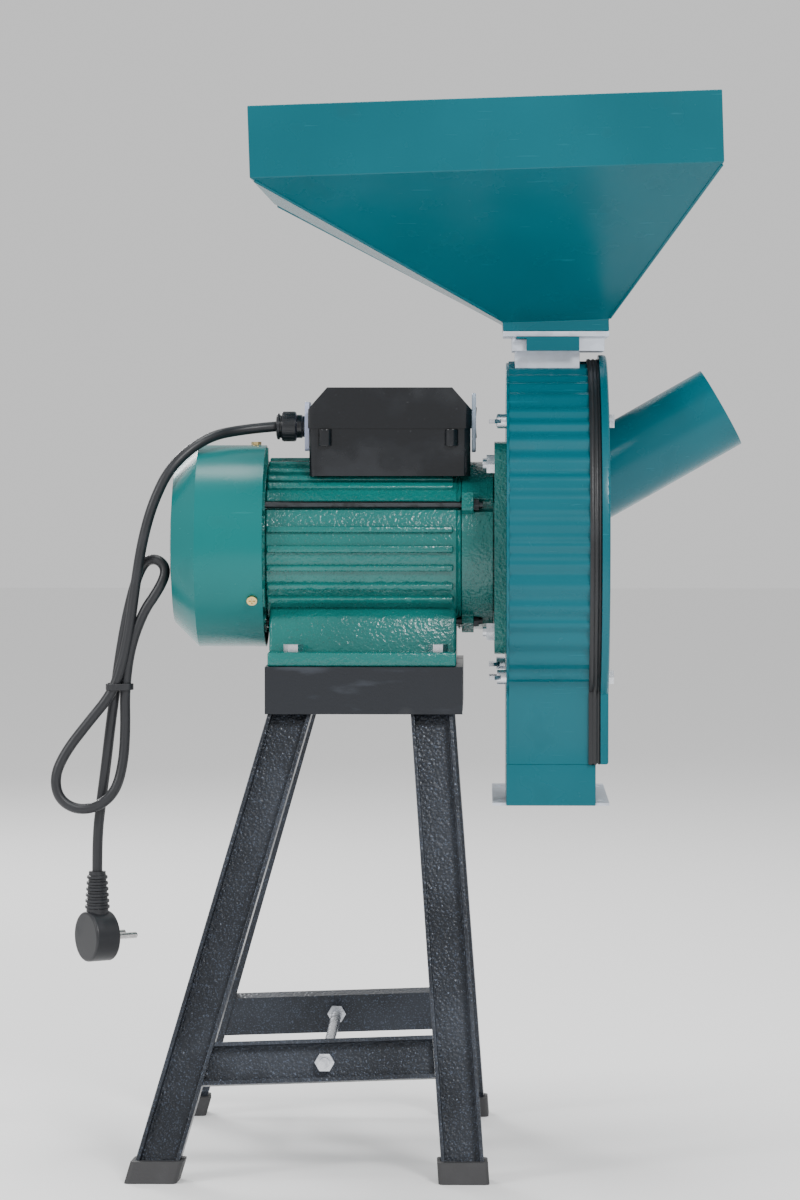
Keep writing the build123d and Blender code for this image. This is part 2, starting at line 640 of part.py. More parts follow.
terminal_x, terminal_width, terminal_height = box_right - 22, 14, 14
terminal_length, terminal_pitch = 48, 11
with BuildPart() as terminal_block:
    with BuildSketch(Plane.XY.offset(axis_z + box_floor_radius + fit)):
        with Locations((terminal_x, 0)):
            Rectangle(terminal_width, terminal_length)
    extrude(amount=terminal_height)
    with BuildSketch(Plane.XY.offset(axis_z + box_floor_radius + terminal_height - 6)):
        with GridLocations(0, terminal_pitch, 1, 4):
            with Locations((terminal_x, 0)):
                Circle(2.5)
    extrude(amount=8, mode=Mode.SUBTRACT)
terminal_block.part.label = "terminal_block"
export_step(terminal_block.part, "parts/terminal_block.step")

# Switch on the box's right end: a clear frame round a rocker that turns about a pin along Y.
switch_z, switch_height, switch_width, switch_depth = 567, 46, 32, 3.2
rocker_width, rocker_half, rocker_heel, rocker_gap = 18, 12, 2, 0.3
switch_plane = Plane(origin=(box_right + lid_lip, 0, switch_z), x_dir=(0, 1, 0), z_dir=(1, 0, 0))
rocker_plane = Plane(
    origin=(box_right + lid_lip + rocker_gap, rocker_width / 2, switch_z), x_dir=(1, 0, 0), z_dir=(0, -1, 0))
with BuildPart() as switch_frame:
    with BuildSketch(switch_plane):
        RectangleRounded(switch_width, switch_height, 4)
        Rectangle(rocker_width + 2, 2 * rocker_half + 3, mode=Mode.SUBTRACT)
    extrude(amount=switch_depth)
switch_frame.part.label = "switch_frame"
export_step(switch_frame.part, "parts/switch_frame.step")

with BuildPart() as switch_rocker:
    with BuildSketch(rocker_plane):
        with BuildLine():
            Polyline((0, -rocker_heel), (2.2, -rocker_half), (3.6, -rocker_half), (2.6, 0),
                     (3.6, rocker_half), (2.2, rocker_half), (0, rocker_heel), close=True)
        make_face()
    extrude(amount=rocker_width)
switch_rocker.part.label = "switch_rocker"
export_step(switch_rocker.part, "parts/switch_rocker.step")

with BuildPart() as gland_plate:
    with BuildSketch(shaft_plane(box_left - lid_lip - gland_plate_thickness)):
        with Locations((0, gland_rel)):
            RectangleRounded(40, 38, 3)
            Circle(gland_bore, mode=Mode.SUBTRACT)
    extrude(amount=gland_plate_thickness)
gland_plate.part.label = "gland_plate"
export_step(gland_plate.part, "parts/gland_plate.step")

gland_face = box_left - lid_lip - gland_plate_thickness
gland_section = Plane(origin=(gland_face, 0, gland_z), x_dir=(-1, 0, 0), z_dir=(0, 1, 0))
gland_axis = Axis((gland_face, 0, gland_z), (-1, 0, 0))
with BuildPart() as cable_gland:
    with BuildSketch(gland_section):
        with BuildLine():
            Polyline(
                (0, cord_radius + fit), (0, gland_radius), (8, gland_radius), (9, gland_radius - 1),
                (16, gland_radius - 1), (gland_length, cord_radius + 2),
                (gland_length, cord_radius + fit), close=True)
        make_face()
    revolve(axis=gland_axis)
cable_gland.part.label = "cable_gland"
export_step(cable_gland.part, "parts/cable_gland.step")
gland_mouth = gland_face - gland_length

# ---- cord and plug ------------------------------------------------------------------------------
# The cord leaves the gland, drops beside the fan cover, and is folded into two flat loops held by a tie.
plug_x, plug_y, plug_top = -266, -30, 219
cord_route = [
    (gland_mouth, 0, gland_z), (-153, -3, 562), (-181, -26, 556), (-207, -41, 534.5),
    (-221, -43, 506), (-229.5, -42, 476), (-235, -41, 442), (-240, -40.5, 405), (-246, -40, 378),
    (-254, -40, 357), (-272, -42, 335), (-289, -44, 313), (-297.5, -46, 294), (-294.5, -47, 277),
    (-281, -46, 268), (-264, -44, 270), (-250.5, -41, 282), (-244.8, -38, 304), (-243.2, -36.5, 331),
    (-243.8, -36.5, 360), (-239.5, -38, 393), (-229, -40, 421), (-218.5, -40.5, 436),
    (-212.1, -39.5, 448.6), (-212.4, -38, 456.2), (-218.1, -36, 461.4), (-225.7, -33.5, 461.1),
    (-230.9, -31.8, 455.4), (-236, -30.5, 443), (-242, -29.5, 420), (-247.5, -30, 390),
    (-251.4, -31.2, 361), (-255.5, -31, 331), (-259, -30.5, 301), (-263, -30, 272),
    (plug_x, plug_y, 245), (plug_x, plug_y, plug_top)]


def run_radius(before, corner, after):
    """The largest tangent arc that both runs at a corner have room for."""
    first, second = Vector(*corner) - Vector(*before), Vector(*after) - Vector(*corner)
    turn = radians(first.get_angle(second))
    return 0.45 * min(first.length, second.length) / tan(turn / 2)


cord_radii = [run_radius(*cord_route[i - 1:i + 2]) for i in range(1, len(cord_route) - 1)]
first_run = Vector(*cord_route[1]) - Vector(*cord_route[0])
with BuildPart() as power_cord:
    with BuildLine() as cord_line:
        FilletPolyline(*cord_route, radius=cord_radii)
    with BuildSketch(Plane(origin=cord_route[0], z_dir=first_run)):
        Circle(cord_radius)
    sweep()
power_cord.part.label = "power_cord"
export_step(power_cord.part, "parts/power_cord.step")
cord_length = sum(edge.length for edge in cord_line.edges())
runs = [(Vector(*b) - Vector(*a)).length for a, b in zip(cord_route, cord_route[1:])]
print("cord length", round(cord_length, 1), "volume ratio",
      round(power_cord.part.volume / (pi * cord_radius ** 2 * cord_length), 4))
print("cord radii", [round(r) for r in cord_radii])
print("cord runs", [round(r) for r in runs])

# The tie is a flat band round the three strands.
tie_z, tie_height, tie_wall = 363, 5, 1.0
tie_gap = 1.5


def strands_at(height):
    """Where the cord's runs cross a level, as (x, y) points."""
    points = []
    for (ax, ay, az), (bx, by, bz) in zip(cord_route, cord_route[1:]):
        if (az - height) * (bz - height) < 0:
            share = (height - az) / (bz - az)
            points.append((ax + share * (bx - ax), ay + share * (by - ay)))
    return points


strand_centres = strands_at(tie_z)
with BuildPart() as cord_tie:
    with BuildSketch(Plane.XY.offset(tie_z - tie_height / 2)):
        with BuildLine():
            Polyline(*strand_centres, close=True)
        make_face()
        offset(amount=cord_radius + tie_gap + tie_wall)
        with BuildSketch(mode=Mode.PRIVATE) as tie_inside:
            with BuildLine():
                Polyline(*strand_centres, close=True)
            make_face()
            offset(amount=cord_radius + tie_gap)
        add(tie_inside.sketch, mode=Mode.SUBTRACT)
    extrude(amount=tie_height)
cord_tie.part.label = "cord_tie"
export_step(cord_tie.part, "parts/cord_tie.step")

# Angled plug: strain relief pointing up, round body turned towards the right and the back.
relief_height, relief_radius, body_radius, body_thickness = 32, 9, 19.5, 21
plug_turn = 33
pin_offset, pin_radius_plug, pin_length = 9.5, 2.4, 19
plug_centre_z = plug_top - relief_height - body_radius + 1
pin_way = Vector(cos(radians(plug_turn)), sin(radians(plug_turn)), 0)
pin_side = Vector(-sin(radians(plug_turn)), cos(radians(plug_turn)), 0)
plug_plane = Plane(
    origin=Vector(plug_x, plug_y, plug_centre_z) - pin_way * (body_thickness / 2),
    x_dir=pin_side, z_dir=pin_way)
with BuildPart() as plug_body:
    with BuildSketch(plug_plane):
        Circle(body_radius)
    extrude(amount=body_thickness)
    fillet(plug_body.edges().filter_by(GeomType.CIRCLE), 2)
    with BuildSketch(Plane.XY.offset(plug_centre_z + body_radius - 4)):
        with Locations((plug_x, plug_y)):
            Circle(relief_radius)
    extrude(amount=plug_top - plug_centre_z - body_radius + 4, taper=4)
    with BuildSketch(plug_plane.offset(body_thickness - 10)):
        with Locations((-pin_offset, 0), (pin_offset, 0)):
            Circle(pin_radius_plug)
    extrude(amount=11, mode=Mode.SUBTRACT)
plug_body.part.label = "plug_body"
export_step(plug_body.part, "parts/plug_body.step")

with BuildPart() as plug_pins:
    with BuildSketch(plug_plane.offset(body_thickness - 10)):
        with Locations((-pin_offset, 0), (pin_offset, 0)):
            Circle(pin_radius_plug)
    extrude(amount=10 + pin_length)
    tips = plug_pins.edges().filter_by(GeomType.CIRCLE).sort_by(lambda e: e.center().dot(pin_way))
    chamfer(tips[-2:], 0.8)
plug_pins.part.label = "plug_pins"
export_step(plug_pins.part, "parts/plug_pins.step")

# ---- mill ---------------------------------------------------------------------------------------
stud_places = [(y, z) for y in (-stud_offset, stud_offset) for z in (-stud_offset, stud_offset)]
cover_bolt_places = [(y, z) for y in (-cover_bolt_y, cover_bolt_y) for z in (-cover_bolt_z, cover_bolt_z)]
shell_bottom = duct_top - axis_z


def drum_outline(grow, bottom):
    """Closed outline in shaft_plane: the drum's circle with straight sides down to bottom."""
    radius, half = drum_radius + grow, duct_half + grow
    corner = -sqrt(radius ** 2 - half ** 2)
    with BuildSketch(Plane.XY, mode=Mode.PRIVATE) as outline:
        with BuildLine():
            Polyline((half, corner), (half, bottom), (-half, bottom), (-half, corner))
            ThreePointArc((-half, corner), (0, radius), (half, corner))
        make_face()
    return outline.sketch


with BuildPart() as motor_flange:
    with BuildSketch(shaft_plane(flange_left)):
        RectangleRounded(flange_size, flange_size, 12)
        Circle(shoulder_radius + 3, mode=Mode.SUBTRACT)
        with Locations(*stud_places):
            Circle(stud_radius + seat_gap, mode=Mode.SUBTRACT)
    extrude(amount=drum_left - flange_left)
    add(ring(shield_right, flange_left - shield_right, bell_radius - 4, bell_radius - 12))
motor_flange.part.label = "motor_flange"
export_step(motor_flange.part, "parts/motor_flange.step")

with BuildPart() as drum_back_plate:
    with BuildSketch(shaft_plane(drum_left)):
        add(drum_outline(0, shell_bottom))
        Circle(shoulder_radius + 1, mode=Mode.SUBTRACT)
        with Locations(*stud_places):
            Circle(stud_radius + fit, mode=Mode.SUBTRACT)
        with Locations(*cover_bolt_places):
            Circle(cover_bolt_radius + 0.4, mode=Mode.SUBTRACT)
    extrude(amount=back_plate)
drum_back_plate.part.label = "drum_back_plate"
export_step(drum_back_plate.part, "parts/drum_back_plate.step")

drum_depth = drum_right - drum_left - back_plate
rib_count = int(240 // rib_pitch)
rib_angles = [90 + rib_pitch * (i - (rib_count - 1) / 2) for i in range(rib_count)]
rib_circle = drum_radius + rib_rise - rib_radius
with BuildPart() as drum_wall:
    with BuildSketch(shaft_plane(drum_left + back_plate)):
        add(drum_outline(0, shell_bottom))
        with Locations(*round_points(rib_circle, rib_angles)):
            Circle(rib_radius)
        add(drum_outline(-sheet, shell_bottom - 1), mode=Mode.SUBTRACT)
    extrude(amount=drum_depth)
    with BuildSketch(Plane.XY.offset(axis_z)):
        with Locations(((neck_left + neck_right) / 2, 0)):
            Rectangle(neck_right - neck_left + 2 * seat_gap, 2 * (neck_half + seat_gap))
    extrude(amount=drum_radius + 2 * rib_radius, mode=Mode.SUBTRACT)
drum_wall.part.label = "drum_wall"
export_step(drum_wall.part, "parts/drum_wall.step")

duct_middle, duct_length = (drum_left + duct_right) / 2, duct_right - drum_left
with BuildPart() as discharge_duct:
    with BuildSketch(Plane.XY.offset(duct_bottom)):
        with Locations((duct_middle, 0)):
            Rectangle(duct_length, 2 * duct_half)
            Rectangle(duct_length - 2 * sheet, 2 * (duct_half - sheet), mode=Mode.SUBTRACT)
    extrude(amount=duct_top - duct_bottom)
    with BuildSketch(Plane.XY.offset(duct_top - sheet)):
        with Locations(((drum_right + duct_right) / 2 - 1, 0)):
            Rectangle(duct_right - drum_right + 2, 2 * duct_half)
    extrude(amount=sheet)
discharge_duct.part.label = "discharge_duct"
export_step(discharge_duct.part, "parts/discharge_duct.step")

outlet_thickness, outlet_hole = 2, 3.5
with BuildPart() as outlet_flanges:
    with BuildSketch(Plane.XY.offset(duct_bottom)):
        for x in (drum_left - outlet_flange_width / 2, duct_right + outlet_flange_width / 2):
            with Locations((x, 0)):
                Rectangle(outlet_flange_width, 2 * (duct_half - 2))
                with Locations((0, -duct_half * 0.7), (0, duct_half * 0.7)):
                    Circle(outlet_hole, mode=Mode.SUBTRACT)
    extrude(amount=outlet_thickness)
outlet_flanges.part.label = "outlet_flanges"
export_step(outlet_flanges.part, "parts/outlet_flanges.step")

stud_nut_thickness, stud_nut_af = 6, 13
with BuildPart() as drum_studs:
    with BuildSketch(shaft_plane(flange_left - stud_nut_thickness - 3)):
        with Locations(*stud_places):
            Circle(stud_radius)
    extrude(amount=drum_left + back_plate - flange_left + stud_nut_thickness + 3)
    with BuildSketch(shaft_plane(flange_left - stud_nut_thickness)):
        with Locations(*stud_places):
            RegularPolygon(stud_nut_af / 2, 6, major_radius=False)
            Circle(stud_radius + fit, mode=Mode.SUBTRACT)
    extrude(amount=stud_nut_thickness)
drum_studs.part.label = "drum_studs"
export_step(drum_studs.part, "parts/drum_studs.step")

with BuildPart() as cover_gasket:
    with BuildSketch(shaft_plane(drum_right)):
        add(drum_outline(gasket_overhang, duct_top + 0.5 - axis_z))
        add(drum_outline(gasket_overhang - gasket_width, duct_top + gasket_width - axis_z),
            mode=Mode.SUBTRACT)
        with Locations(*cover_bolt_places):
            Circle(cover_bolt_radius + 0.4, mode=Mode.SUBTRACT)
    extrude(amount=gasket_thickness)
cover_gasket.part.label = "cover_gasket"
export_step(cover_gasket.part, "parts/cover_gasket.step")

cover_left_face = drum_right + gasket_thickness
cover_inner = cover_left_face + cover_thickness - cover_plate
cover_face = cover_left_face + cover_thickness
tube_way = Vector(cos(radians(tube_tilt)), 0, sin(radians(tube_tilt)))
tube_plane = Plane(
    origin=Vector(cover_face, 0, tube_start_z) - tube_way * tube_radius,
    x_dir=(0, 1, 0), z_dir=tube_way)
cover_bottom = duct_top + 0.5 - axis_z
with BuildPart() as mill_cover:
    with BuildSketch(shaft_plane(cover_left_face)):
        add(drum_outline(cover_overhang, cover_bottom))
    extrude(amount=cover_thickness)
    fillet(mill_cover.faces().sort_by(Axis.X)[-1].outer_wire().edges(), 2)
    with BuildSketch(shaft_plane(cover_left_face)):
        add(drum_outline(cover_overhang - cover_rim, cover_bottom + cover_rim))
    extrude(amount=cover_thickness - cover_plate, mode=Mode.SUBTRACT)
    with BuildSketch(tube_plane):
        Circle(tube_radius)
    extrude(amount=tube_length + tube_radius)
    split(bisect_by=Plane.YZ.offset(cover_left_face), keep=Keep.TOP)
    with BuildPart(mode=Mode.PRIVATE) as tube_void:
        with BuildSketch(tube_plane.offset(-tube_radius)):
            Circle(tube_radius - sheet)
        extrude(amount=tube_length + 3 * tube_radius)
    add(tube_void.part, mode=Mode.SUBTRACT)
    with BuildPart(mode=Mode.PRIVATE) as inside:
        with BuildSketch(shaft_plane(cover_left_face - 1)):
            Circle(drum_radius - cover_rim)
        extrude(amount=cover_inner - cover_left_face + 1)
    add(inside.part, mode=Mode.SUBTRACT)
    with BuildSketch(shaft_plane(cover_left_face)):
        with Locations(*cover_bolt_places):
            Circle(cover_bolt_radius + fit)
    extrude(amount=cover_thickness, mode=Mode.SUBTRACT)
mill_cover.part.label = "mill_cover"
export_step(mill_cover.part, "parts/mill_cover.step")

bolt_head_thickness, bolt_head_af = 4, 10
wing_left = drum_left - wing_nut_length
bolt_tip = wing_left + 6
with BuildPart() as cover_bolts:
    with BuildSketch(shaft_plane(bolt_tip)):
        with Locations(*cover_bolt_places):
            Circle(cover_bolt_radius)
    extrude(amount=cover_face - bolt_tip)
    with BuildSketch(shaft_plane(cover_face)):
        with Locations(*cover_bolt_places):
            RegularPolygon(bolt_head_af / 2, 6, major_radius=False)
    extrude(amount=bolt_head_thickness)
cover_bolts.part.label = "cover_bolts"
export_step(cover_bolts.part, "parts/cover_bolts.step")

wing_hub, wing_thickness = 5.5, 3
for number, (y, z) in enumerate(cover_bolt_places, start=1):
    with BuildPart() as wing_nut:
        with BuildSketch(shaft_plane(drum_left - 7)):
            with Locations((y, z)):
                Circle(wing_hub)
        extrude(amount=7)
        wing_section = Plane(origin=(drum_left, y, axis_z + z), x_dir=(-1, 0, 0), z_dir=(0, 0, 1))
        with BuildSketch(wing_section.offset(-wing_thickness / 2)):
            for wing in (-1, 1):
                with BuildLine():
                    Polyline(
                        (3, wing * (wing_hub - 2)), (7, wing * (wing_hub - 2)),
                        (wing_nut_length, wing * (wing_span / 2 - 3)),
                        (wing_nut_length, wing * wing_span / 2),
                        (wing_nut_length - 4, wing * wing_span / 2), close=True)
                make_face()
        extrude(amount=wing_thickness)
        with BuildSketch(shaft_plane(wing_left)):
            with Locations((y, z)):
                Circle(cover_bolt_radius + 0.08)
        extrude(amount=wing_nut_length, mode=Mode.SUBTRACT)
    wing_nut.part.label = f"wing_nut_{number}"
    export_step(wing_nut.part, f"parts/wing_nut_{number}.step")

# The sieve is a slotted ring between the back plate and the cover, open at the top for the feed.
sieve_left, sieve_right = drum_left + back_plate + seat_gap, cover_inner - seat_gap
sieve_slots, slot_width, slot_margin = 26, 6, 9
sieve_arc = 360 - sieve_mouth
with BuildPart() as sieve:
    add(ring(sieve_left, sieve_right - sieve_left, sieve_radius + sheet, sieve_radius))
    with BuildSketch(shaft_plane(sieve_left)):
        reach = 2 * sieve_radius
        half_mouth = radians(sieve_mouth / 2)
        with BuildLine():
            Polyline(
                (0, 0), (reach * sin(half_mouth), reach * cos(half_mouth)),
                (-reach * sin(half_mouth), reach * cos(half_mouth)), close=True)
        make_face()
    extrude(amount=sieve_right - sieve_left, mode=Mode.SUBTRACT)
    for i in range(sieve_slots):
        angle = 90 + sieve_mouth / 2 + sieve_arc * (i + 0.5) / sieve_slots
        place = shaft_plane((sieve_left + sieve_right) / 2).location * Rot(0, 0, angle)
        with Locations(place * Pos(sieve_radius, 0, 0)):
            Box(8, slot_width, sieve_right - sieve_left - 2 * slot_margin, mode=Mode.SUBTRACT)
sieve.part.label = "sieve"
export_step(sieve.part, "parts/sieve.step")

# ---- rotor in the drum --------------------------------------------------------------------------
pin_places = round_points(pin_circle, (45, 135, 225, 315))
with BuildPart() as rotor_discs:
    for start in (disc_left, disc_left + disc_thickness + disc_gap):
        with BuildSketch(shaft_plane(start)):
            Circle(disc_radius)
            Circle(shaft_radius + fit, mode=Mode.SUBTRACT)
            with Locations(*pin_places):
                Circle(pin_radius + fit, mode=Mode.SUBTRACT)
        extrude(amount=disc_thickness)
rotor_discs.part.label = "rotor_discs"
export_step(rotor_discs.part, "parts/rotor_discs.step")

spacer_radius = 20
with BuildPart() as rotor_spacer:
    add(ring(disc_left + disc_thickness, disc_gap, spacer_radius, shaft_radius + fit))
rotor_spacer.part.label = "rotor_spacer"
export_step(rotor_spacer.part, "parts/rotor_spacer.step")

pin_head = 2
with BuildPart() as hammer_pins:
    with BuildSketch(shaft_plane(disc_left)):
        with Locations(*pin_places):
            Circle(pin_radius)
    extrude(amount=disc_right - disc_left)
    for start in (disc_left - pin_head, disc_right):
        with BuildSketch(shaft_plane(start)):
            with Locations(*pin_places):
                Circle(pin_radius + 2)
        extrude(amount=pin_head)
hammer_pins.part.label = "hammer_pins"
export_step(hammer_pins.part, "parts/hammer_pins.step")

pin_clearance = 0.08
first_hammer = disc_left + disc_thickness + 1
for number, (y, z) in enumerate(pin_places, start=1):
    start = first_hammer + (number % 2) * hammer_step / 2
    with BuildPart() as hammer:
        for step in range(hammers_per_pin):
            with BuildSketch(shaft_plane(start + step * hammer_step)):
                with Locations((y, z)):
                    Circle(hammer_width / 2)
                with Locations((y, z - hammer_reach / 2)):
                    Rectangle(hammer_width, hammer_reach)
                with Locations((y, z)):
                    Circle(pin_radius + pin_clearance, mode=Mode.SUBTRACT)
            extrude(amount=hammer_thickness)
    hammer.part.label = f"hammers_{number}"
    export_step(hammer.part, f"parts/hammers_{number}.step")

knife_bore = shaft_radius - 3
with BuildPart() as cob_knife:
    with BuildSketch(shaft_plane(knife_left)):
        SlotOverall(knife_length, knife_width)
        Circle(knife_bore + 5)
        Circle(knife_bore + fit, mode=Mode.SUBTRACT)
    extrude(amount=knife_thickness)
cob_knife.part.label = "cob_knife"
export_step(cob_knife.part, "parts/cob_knife.step")

with BuildPart() as shaft_nut:
    with BuildSketch(shaft_plane(knife_left + knife_thickness)):
        RegularPolygon(nut_width / 2, 6, major_radius=False)
        Circle(knife_bore + fit, mode=Mode.SUBTRACT)
    extrude(amount=nut_thickness)
shaft_nut.part.label = "shaft_nut"
export_step(shaft_nut.part, "parts/shaft_nut.step")

# ---- feed ---------------------------------------------------------------------------------------
neck_middle, neck_width = (neck_left + neck_right) / 2, neck_right - neck_left
with BuildPart() as feed_neck:
    with BuildSketch(Plane.XY.offset(neck_bottom)):
        with Locations((neck_middle, 0)):
            Rectangle(neck_width, 2 * neck_half)
            Rectangle(neck_width - 2 * sheet, 2 * (neck_half - sheet), mode=Mode.SUBTRACT)
    extrude(amount=neck_top - neck_bottom)
feed_neck.part.label = "feed_neck"
export_step(feed_neck.part, "parts/feed_neck.step")

# The collar caps the neck: its top plate carries the hopper, and the shutter slides under it.
collar_middle, collar_width = (collar_left + collar_right) / 2, collar_right - collar_left
collar_wall, slide_gap = 1.5, 0.25
shutter_bottom = neck_top + slide_gap
plate_under = shutter_bottom + shutter_thickness + slide_gap
throat_middle, throat_width = (throat_left + throat_right) / 2, throat_right - throat_left
shutter_width = neck_width - 2
with BuildPart() as feed_collar:
    with BuildSketch(Plane.XY.offset(collar_bottom)):
        with Locations((collar_middle, 0)):
            Rectangle(collar_width, 2 * collar_half)
            Rectangle(collar_width - 2 * collar_wall, 2 * (collar_half - collar_wall),
                      mode=Mode.SUBTRACT)
    extrude(amount=plate_under - collar_bottom)
    with BuildSketch(Plane.XY.offset(plate_under)):
        with Locations((throat_middle, 0)):
            Rectangle(throat_width, 2 * throat_half)
        with Locations((neck_middle, 0)):
            Rectangle(neck_width - 2 * sheet, 2 * (neck_half - sheet), mode=Mode.SUBTRACT)
    extrude(amount=collar_top - plate_under)
    with Locations((neck_middle, -collar_half, shutter_bottom + shutter_thickness / 2)):
        Box(shutter_width + 2 * seat_gap, 4 * collar_wall, shutter_thickness + 2 * slide_gap,
            mode=Mode.SUBTRACT)
    with BuildSketch(Plane.XY.offset(collar_bottom)):
        with Locations((collar_middle, 0)):
            Rectangle(collar_width, 2 * collar_half)
        with Locations((neck_middle, 0)):
            Rectangle(neck_width + 2 * weld_gap, 2 * (neck_half + weld_gap), mode=Mode.SUBTRACT)
    extrude(amount=collar_wall)
feed_collar.part.label = "feed_collar"
export_step(feed_collar.part, "parts/feed_collar.step")

with BuildPart() as shutter:
    with BuildSketch(Plane.XY.offset(shutter_bottom)):
        with Locations((neck_middle, (collar_half - collar_wall - 2 - shutter_front) / 2)):
            Rectangle(shutter_width, collar_half - collar_wall - 2 + shutter_front)
    extrude(amount=shutter_thickness)
    with BuildSketch(Plane.XY.offset(lip_bottom)):
        with Locations(((lip_left + lip_right) / 2, -shutter_front + shutter_thickness / 2)):
            Rectangle(lip_right - lip_left, shutter_thickness)
    extrude(amount=shutter_bottom + shutter_thickness - lip_bottom)
shutter.part.label = "shutter"
export_step(shutter.part, "parts/shutter.step")

# The hopper's band and funnel lean a little; its throat is cut level to stand on the collar.
hopper_plane = Plane(
    origin=(hopper_centre_x, 0, hopper_crease_z),
    x_dir=(cos(radians(hopper_tilt)), 0, sin(radians(hopper_tilt))),
    z_dir=(-sin(radians(hopper_tilt)), 0, cos(radians(hopper_tilt))))
throat_local = hopper_plane.to_local_coords(Vector(throat_middle, 0, collar_top))
funnel_depth = -throat_local.Z - throat_height


def hopper_body(inset):
    """The hopper's shape as a full solid, each wall moved in by inset."""
    with BuildPart(mode=Mode.PRIVATE) as body:
        with BuildSketch(hopper_plane):
            Rectangle(hopper_rim_width - 2 * inset, hopper_rim_depth - 2 * inset)
        extrude(amount=hopper_band + inset)
        with BuildSketch(hopper_plane):
            Rectangle(hopper_rim_width - 2 * inset, hopper_rim_depth - 2 * inset)
        with BuildSketch(hopper_plane.offset(-funnel_depth)):
            with Locations((throat_local.X, 0)):
                Rectangle(throat_width - 2 * inset, 2 * (throat_half - inset))
        loft()
        with BuildSketch(hopper_plane.offset(-funnel_depth)):
            with Locations((throat_local.X, 0)):
                Rectangle(throat_width - 2 * inset, 2 * (throat_half - inset))
        extrude(amount=-2 * throat_height)
    return body.part


with BuildPart() as hopper:
    add(hopper_body(0))
    add(hopper_body(sheet), mode=Mode.SUBTRACT)
    split(bisect_by=Plane.XY.offset(collar_top + seat_gap), keep=Keep.TOP)
hopper.part.label = "hopper"
export_step(hopper.part, "parts/hopper.step")
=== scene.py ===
"""Hammer mill: looks of every piece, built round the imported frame.

Metres, +Z up, +X towards the drum cover.
"""
import json
from math import atan2, cos, degrees, pi, radians, sin, sqrt

import bmesh
import bpy
from mathutils import Matrix, Vector

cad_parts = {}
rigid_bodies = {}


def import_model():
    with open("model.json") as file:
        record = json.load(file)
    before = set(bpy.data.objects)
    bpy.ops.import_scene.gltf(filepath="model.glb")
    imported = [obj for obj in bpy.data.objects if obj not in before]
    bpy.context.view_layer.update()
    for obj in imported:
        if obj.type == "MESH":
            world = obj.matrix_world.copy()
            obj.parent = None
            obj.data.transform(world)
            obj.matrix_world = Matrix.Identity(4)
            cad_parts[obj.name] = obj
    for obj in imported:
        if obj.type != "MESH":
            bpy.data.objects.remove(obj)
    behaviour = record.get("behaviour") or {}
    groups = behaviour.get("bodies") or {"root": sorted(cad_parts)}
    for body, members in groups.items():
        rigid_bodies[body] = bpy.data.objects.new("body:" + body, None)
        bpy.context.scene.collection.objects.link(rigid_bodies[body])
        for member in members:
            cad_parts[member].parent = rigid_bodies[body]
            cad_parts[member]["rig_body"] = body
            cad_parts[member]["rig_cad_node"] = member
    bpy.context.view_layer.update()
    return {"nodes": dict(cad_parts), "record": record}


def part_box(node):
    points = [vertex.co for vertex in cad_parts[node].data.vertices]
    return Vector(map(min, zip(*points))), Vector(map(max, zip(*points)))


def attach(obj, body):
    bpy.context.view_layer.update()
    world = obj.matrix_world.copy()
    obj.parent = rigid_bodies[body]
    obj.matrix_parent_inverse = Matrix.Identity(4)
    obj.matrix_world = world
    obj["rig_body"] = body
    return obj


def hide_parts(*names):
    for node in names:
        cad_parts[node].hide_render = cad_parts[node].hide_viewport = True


bl_info = {
    "name": "Hammer mill",
    "version": (1, 0, 0),
    "blender": (4, 5, 0),
    "location": "3D View > Sidebar > Hammer mill",
    "description": "Builds the finished pieces of a hammer mill round its CAD frame",
    "category": "Object",
}

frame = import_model()
NODES = frame["nodes"]
SLOTS = {part["node"]: part["material_slot"] for part in frame["record"]["subparts"]}

# ---- shader maths -------------------------------------------------------------------------------


class Socket:
    """A shader socket that can be added to and multiplied."""

    def __init__(self, recipe, socket):
        self.recipe, self.socket = recipe, socket

    def maths(self, operation, first, second):
        return self.recipe.node("Math", {"operation": operation}, {0: first, 1: second})

    def __add__(self, other):
        return self.maths("ADD", self, other)

    def __mul__(self, other):
        return self.maths("MULTIPLY", self, other)

    __radd__ = __add__
    __rmul__ = __mul__


